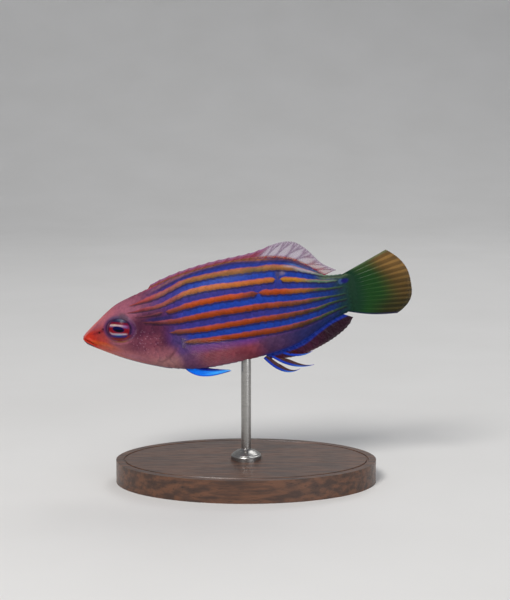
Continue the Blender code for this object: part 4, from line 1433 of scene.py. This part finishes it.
def iris_colour(across, up):
    """The eye as the photo shows it: a dark pupil in red, between two pale bands under a violet lid."""
    away = np.hypot(across, up)
    top = up - (0.93 - 0.03 * (across + 0.9) ** 2)
    low = up - (-0.98 + 0.5 * np.maximum(-across - 1.3, 0.0) ** 2)
    ends = soft(-across, 2.4, 1.9) * soft(across, 2.3, 1.5)
    colour = painted(
        plain(srgb(122, 12, 28), across),
        (110, 30, 84, soft(across, 0.6, 1.6) * soft(up, 0, 0.5)),
        (58, 34, 96, soft(low, -0.12, -0.35)),
        (24, 32, 104, soft(low, -0.15, -0.3) * bell(across - 0.1, 0.9)),
        (86, 32, 46, soft(low, -0.6, -0.85)),
        (118, 42, 28, soft(low, -0.95, -1.2)),
        (104, 12, 40, soft(top, 0.2, 0.4)),
        # Above the upper band: painted shadow under the lid
        (34, 34, 66, soft(top, 0.62, 0.85)),
        # A blue-grey crescent at the top of the eye: a painted reflection
        (74, 76, 96, soft(top, 0.85, 1.2) * soft(across, -1.2, 0.4)),
        (92, 94, 138, 0.8 * bell(top + 0.27, 0.14) * ends),
        tone=srgb,
    )
    # The upper band, lilac at its rear end, then its bright spot, which is a painted highlight, the lower
    # band and the pupil
    band = tinted(plain(srgb(186, 158, 166), across), srgb(140, 96, 140), soft(across, 0.4, 1.5))
    colour = tinted(colour, band, bell(top, 0.19) * ends)
    pupil = pupil_place(across, up)
    colour = painted(
        colour,
        # A painted highlight on the upper band
        (196, 180, 150, bell(top - 0.08, 0.12) * bell(across + 1, 0.6)),
        (164, 146, 160, bell(low, 0.18) * soft(np.abs(across + 0.1), 2.3, 1.6)),
        (98, 140, 166, 0.8 * bell(low + 0.22, 0.15) * bell(across, 0.9)),
        (6, 10, 62, soft(pupil, 1.15, 0.92)),
        (5, 2, 6, soft(pupil, 1, 0.75) * soft(up, 0.16, -0.1)),
        tone=srgb,
    )
    rim = tinted(plain(srgb(60, 28, 62), across), srgb(104, 38, 38), soft(up, -0.9, -1.5))
    return tinted(colour, rim, soft(away, 2.25, 2.5))


def pupil_place(across, up):
    """1 on the pupil's edge, less inside it."""
    return np.hypot(across / 1.32, (up - 0.06 + 0.12 * across) / 0.62)


def make_eye(side, material):
    """A flattened ball whose front is the cornea's dome."""
    bpy.ops.mesh.primitive_uv_sphere_add(segments=128, ring_count=96, radius=1.0)
    obj = bpy.context.object
    ball = vertex_places(obj)
    centre, axis, ahead, up = eye_frame(side)
    across, over = EYE_RADIUS * ball[:, 0], EYE_RADIUS * ball[:, 1]
    away = np.hypot(ball[:, 0], ball[:, 1])
    level, lift = levelled(across, over)
    front = EYE_PROUD - EYE_FALL * away**2.4
    rear = EYE_PROUD - EYE_FALL - EYE_BACK * np.sqrt(np.maximum(1.0 - away * away, 0.0))
    height = np.where(ball[:, 2] >= -1e-6, front, rear)
    points = centre + across[:, None] * ahead + over[:, None] * up + height[:, None] * axis
    add_colour(obj.data, "tint", iris_colour(level, lift))
    set_places(obj, to_world(points))
    if side > 0:
        edit(True)
        bpy.ops.mesh.select_all(action="SELECT")
        bpy.ops.mesh.flip_normals()
        edit(False)
    bpy.ops.object.shade_smooth()
    return named(f"eyeball_{SIDES[side]}", material, "eye", f"eye_{SIDES[side]}")


def make_base(material):
    """The oval base: a turned edge with a fine groove round its top."""
    bpy.ops.mesh.primitive_cylinder_add(
        vertices=160, radius=0.5, depth=BASE_THICKNESS * MM, location=(0.0, 0.0, 0.5 * BASE_THICKNESS * MM)
    )
    obj = bpy.context.object
    bpy.ops.object.transform_apply(location=True, rotation=True, scale=True)
    obj.scale = (BASE_LENGTH * MM, BASE_WIDTH * MM, 1.0)
    bpy.ops.object.transform_apply(location=False, rotation=False, scale=True)
    obj.data.polygons.foreach_set("select", [abs(face.normal.z) > 0.9 for face in obj.data.polygons])
    edit(True)
    bpy.ops.mesh.select_mode(type="FACE")
    bpy.ops.mesh.region_to_loop()
    bpy.ops.mesh.bevel(offset=BASE_ROUND * MM, segments=5, profile=0.5, affect="EDGES")
    edit(False)
    top = BASE_THICKNESS * MM - 1e-6
    obj.data.polygons.foreach_set("select", [face.center.z > top for face in obj.data.polygons])
    edit(True)
    for width, depth in BASE_GROOVE:
        bpy.ops.mesh.inset(thickness=width * MM, depth=depth * MM)
    edit(False)
    bpy.ops.object.shade_smooth_by_angle(angle=math.radians(30.0))
    return named("oval_base", material, "base_wood", "stand_base")


def make_rod(material):
    """The turned rod: a stepped collar on the base and a slanted top under the belly."""
    foot = BASE_THICKNESS - 0.05
    collar_top = BASE_THICKNESS + GAP + COLLAR_HEIGHT
    profile = [(foot + share * COLLAR_HEIGHT, COLLAR_RADIUS - less) for share, less in COLLAR_STEPS]
    profile += [(collar_top + rise, share * ROD_RADIUS) for rise, share in ROD_STEPS]
    profile += [(ROD_TOP - 0.3, ROD_RADIUS), (ROD_TOP + GAP + 0.3, 0.9 * ROD_RADIUS)]
    bpy.ops.mesh.primitive_circle_add(vertices=64, radius=COLLAR_RADIUS * MM, fill_type="NGON")
    obj = bpy.context.object
    edit(True)
    bpy.ops.mesh.select_all(action="SELECT")
    bpy.ops.transform.translate(value=(0.0, 0.0, foot * MM))
    for (low, wide), (high, narrow) in zip(profile, profile[1:]):
        bpy.ops.mesh.extrude_region_move(TRANSFORM_OT_translate={"value": (0.0, 0.0, (high - low) * MM)})
        bpy.ops.transform.resize(value=(narrow / wide, narrow / wide, 1.0))
    bpy.ops.mesh.select_all(action="SELECT")
    bpy.ops.mesh.normals_make_consistent(inside=False)
    edit(False)
    places = vertex_places(obj)
    high = places[:, 2] > (ROD_TOP - 1.0) * MM
    places[high, 2] += math.tan(NOSE_DOWN) * places[high, 0]
    set_places(obj, places)
    bpy.ops.object.shade_smooth_by_angle(angle=math.radians(30.0))
    return named("turned_rod", material, "rod_metal", "stand_rod")


def pick_far_edge(mesh):
    """Select the edge at floor level behind the model, and no other."""
    for edge in mesh.edges:
        ends = (mesh.vertices[v].co for v in edge.vertices)
        edge.select = all(end.y > 1.0 and end.z < 0.01 for end in ends)


def make_stage():
    """A pale floor that runs up behind the model in one curve."""
    bpy.ops.mesh.primitive_plane_add(size=FLOOR_SIZE)
    obj = bpy.context.object
    obj.name = "pale_floor"
    edit(True)
    bpy.ops.mesh.select_all(action="DESELECT")
    bpy.ops.mesh.select_mode(type="EDGE")
    edit(False)
    pick_far_edge(obj.data)
    edit(True)
    bpy.ops.mesh.extrude_region_move(TRANSFORM_OT_translate={"value": (0.0, 0.0, WALL_HEIGHT)})
    edit(False)
    pick_far_edge(obj.data)
    edit(True)
    bpy.ops.mesh.bevel(offset=SWEEP, segments=24, affect="EDGES")
    edit(False)
    bpy.ops.object.shade_smooth()
    f = Finish("pale_floor")
    cloud = f.noise(f.place(), 0.02, 3.0)
    f.set(base_color=f.mix(cloud, srgb(222, 221, 218), srgb(232, 231, 229)), roughness=0.75)
    obj.data.materials.append(f.material)


def add_light(name, place, size, power, colour):
    """A soft round light that faces the model."""
    bpy.ops.object.light_add(type="AREA", location=place)
    light = bpy.context.object
    light.name = name
    light.data.shape = "DISK"
    light.data.size = size
    light.data.energy = power
    light.data.color = colour
    aim = Vector(LIGHTS_MEET) - Vector(place)
    light.rotation_euler = aim.to_track_quat("-Z", "Y").to_euler()


def make_lights():
    """Soft studio light: a wide one above in front, a fill, and a rim from behind."""
    for light in LIGHTS:
        add_light(*light)
    world = bpy.data.worlds.new("studio")
    bpy.context.scene.world = world
    world.use_nodes = True
    sky = world.node_tree.nodes["Background"].inputs
    sky["Color"].default_value = SKY_COLOUR
    sky["Strength"].default_value = SKY_POWER


def make_camera():
    """The camera, level with the fish and a little above, as the photo looks at it."""
    target = Vector(to_world(np.array(LOOK_AT)))
    back_off = Vector((0.0, -math.cos(CAMERA_HEIGHT), math.sin(CAMERA_HEIGHT)))
    bpy.ops.object.camera_add(location=target + back_off * CAMERA_DISTANCE)
    camera = bpy.context.object
    camera.rotation_euler = (-back_off).to_track_quat("-Z", "Y").to_euler()
    camera.data.lens = CAMERA_LENS
    camera.data.sensor_fit = "HORIZONTAL"
    camera.data.sensor_width = CAMERA_SENSOR
    camera.data.clip_start = 0.01
    bpy.context.scene.camera = camera


bpy.ops.object.select_all(action="DESELECT")
skin_paint = skin_finish()
make_skin(skin_paint)
scale_shape = scale_template()
row_table = scale_rows()
for hand, word in SIDES.items():
    make_scales(f"scales_{word}", hand, scale_shape, row_table, skin_paint)
make_dorsal_fin(fin_finish("back_fin", 0.1, 0.4))
make_anal_fin(fin_finish("anal_fin", 0.08, 0.45))
make_caudal_fin(fin_finish("tail_fin", 0.08, 0.45))
clear_fin = fin_finish("clear_fin", 0.2, 0.3)
belly_fin = fin_finish("belly_fin", 0.12, 0.34)
eye_paint = eye_finish()
for hand in SIDES:
    make_pectoral_fin(hand, clear_fin)
    make_pelvic_fin(hand, belly_fin)
    make_eye(hand, eye_paint)
make_base(wood_finish())
make_rod(metal_finish())
make_stage()
make_lights()
make_camera()
bpy.context.scene.view_settings.view_transform = "Standard"
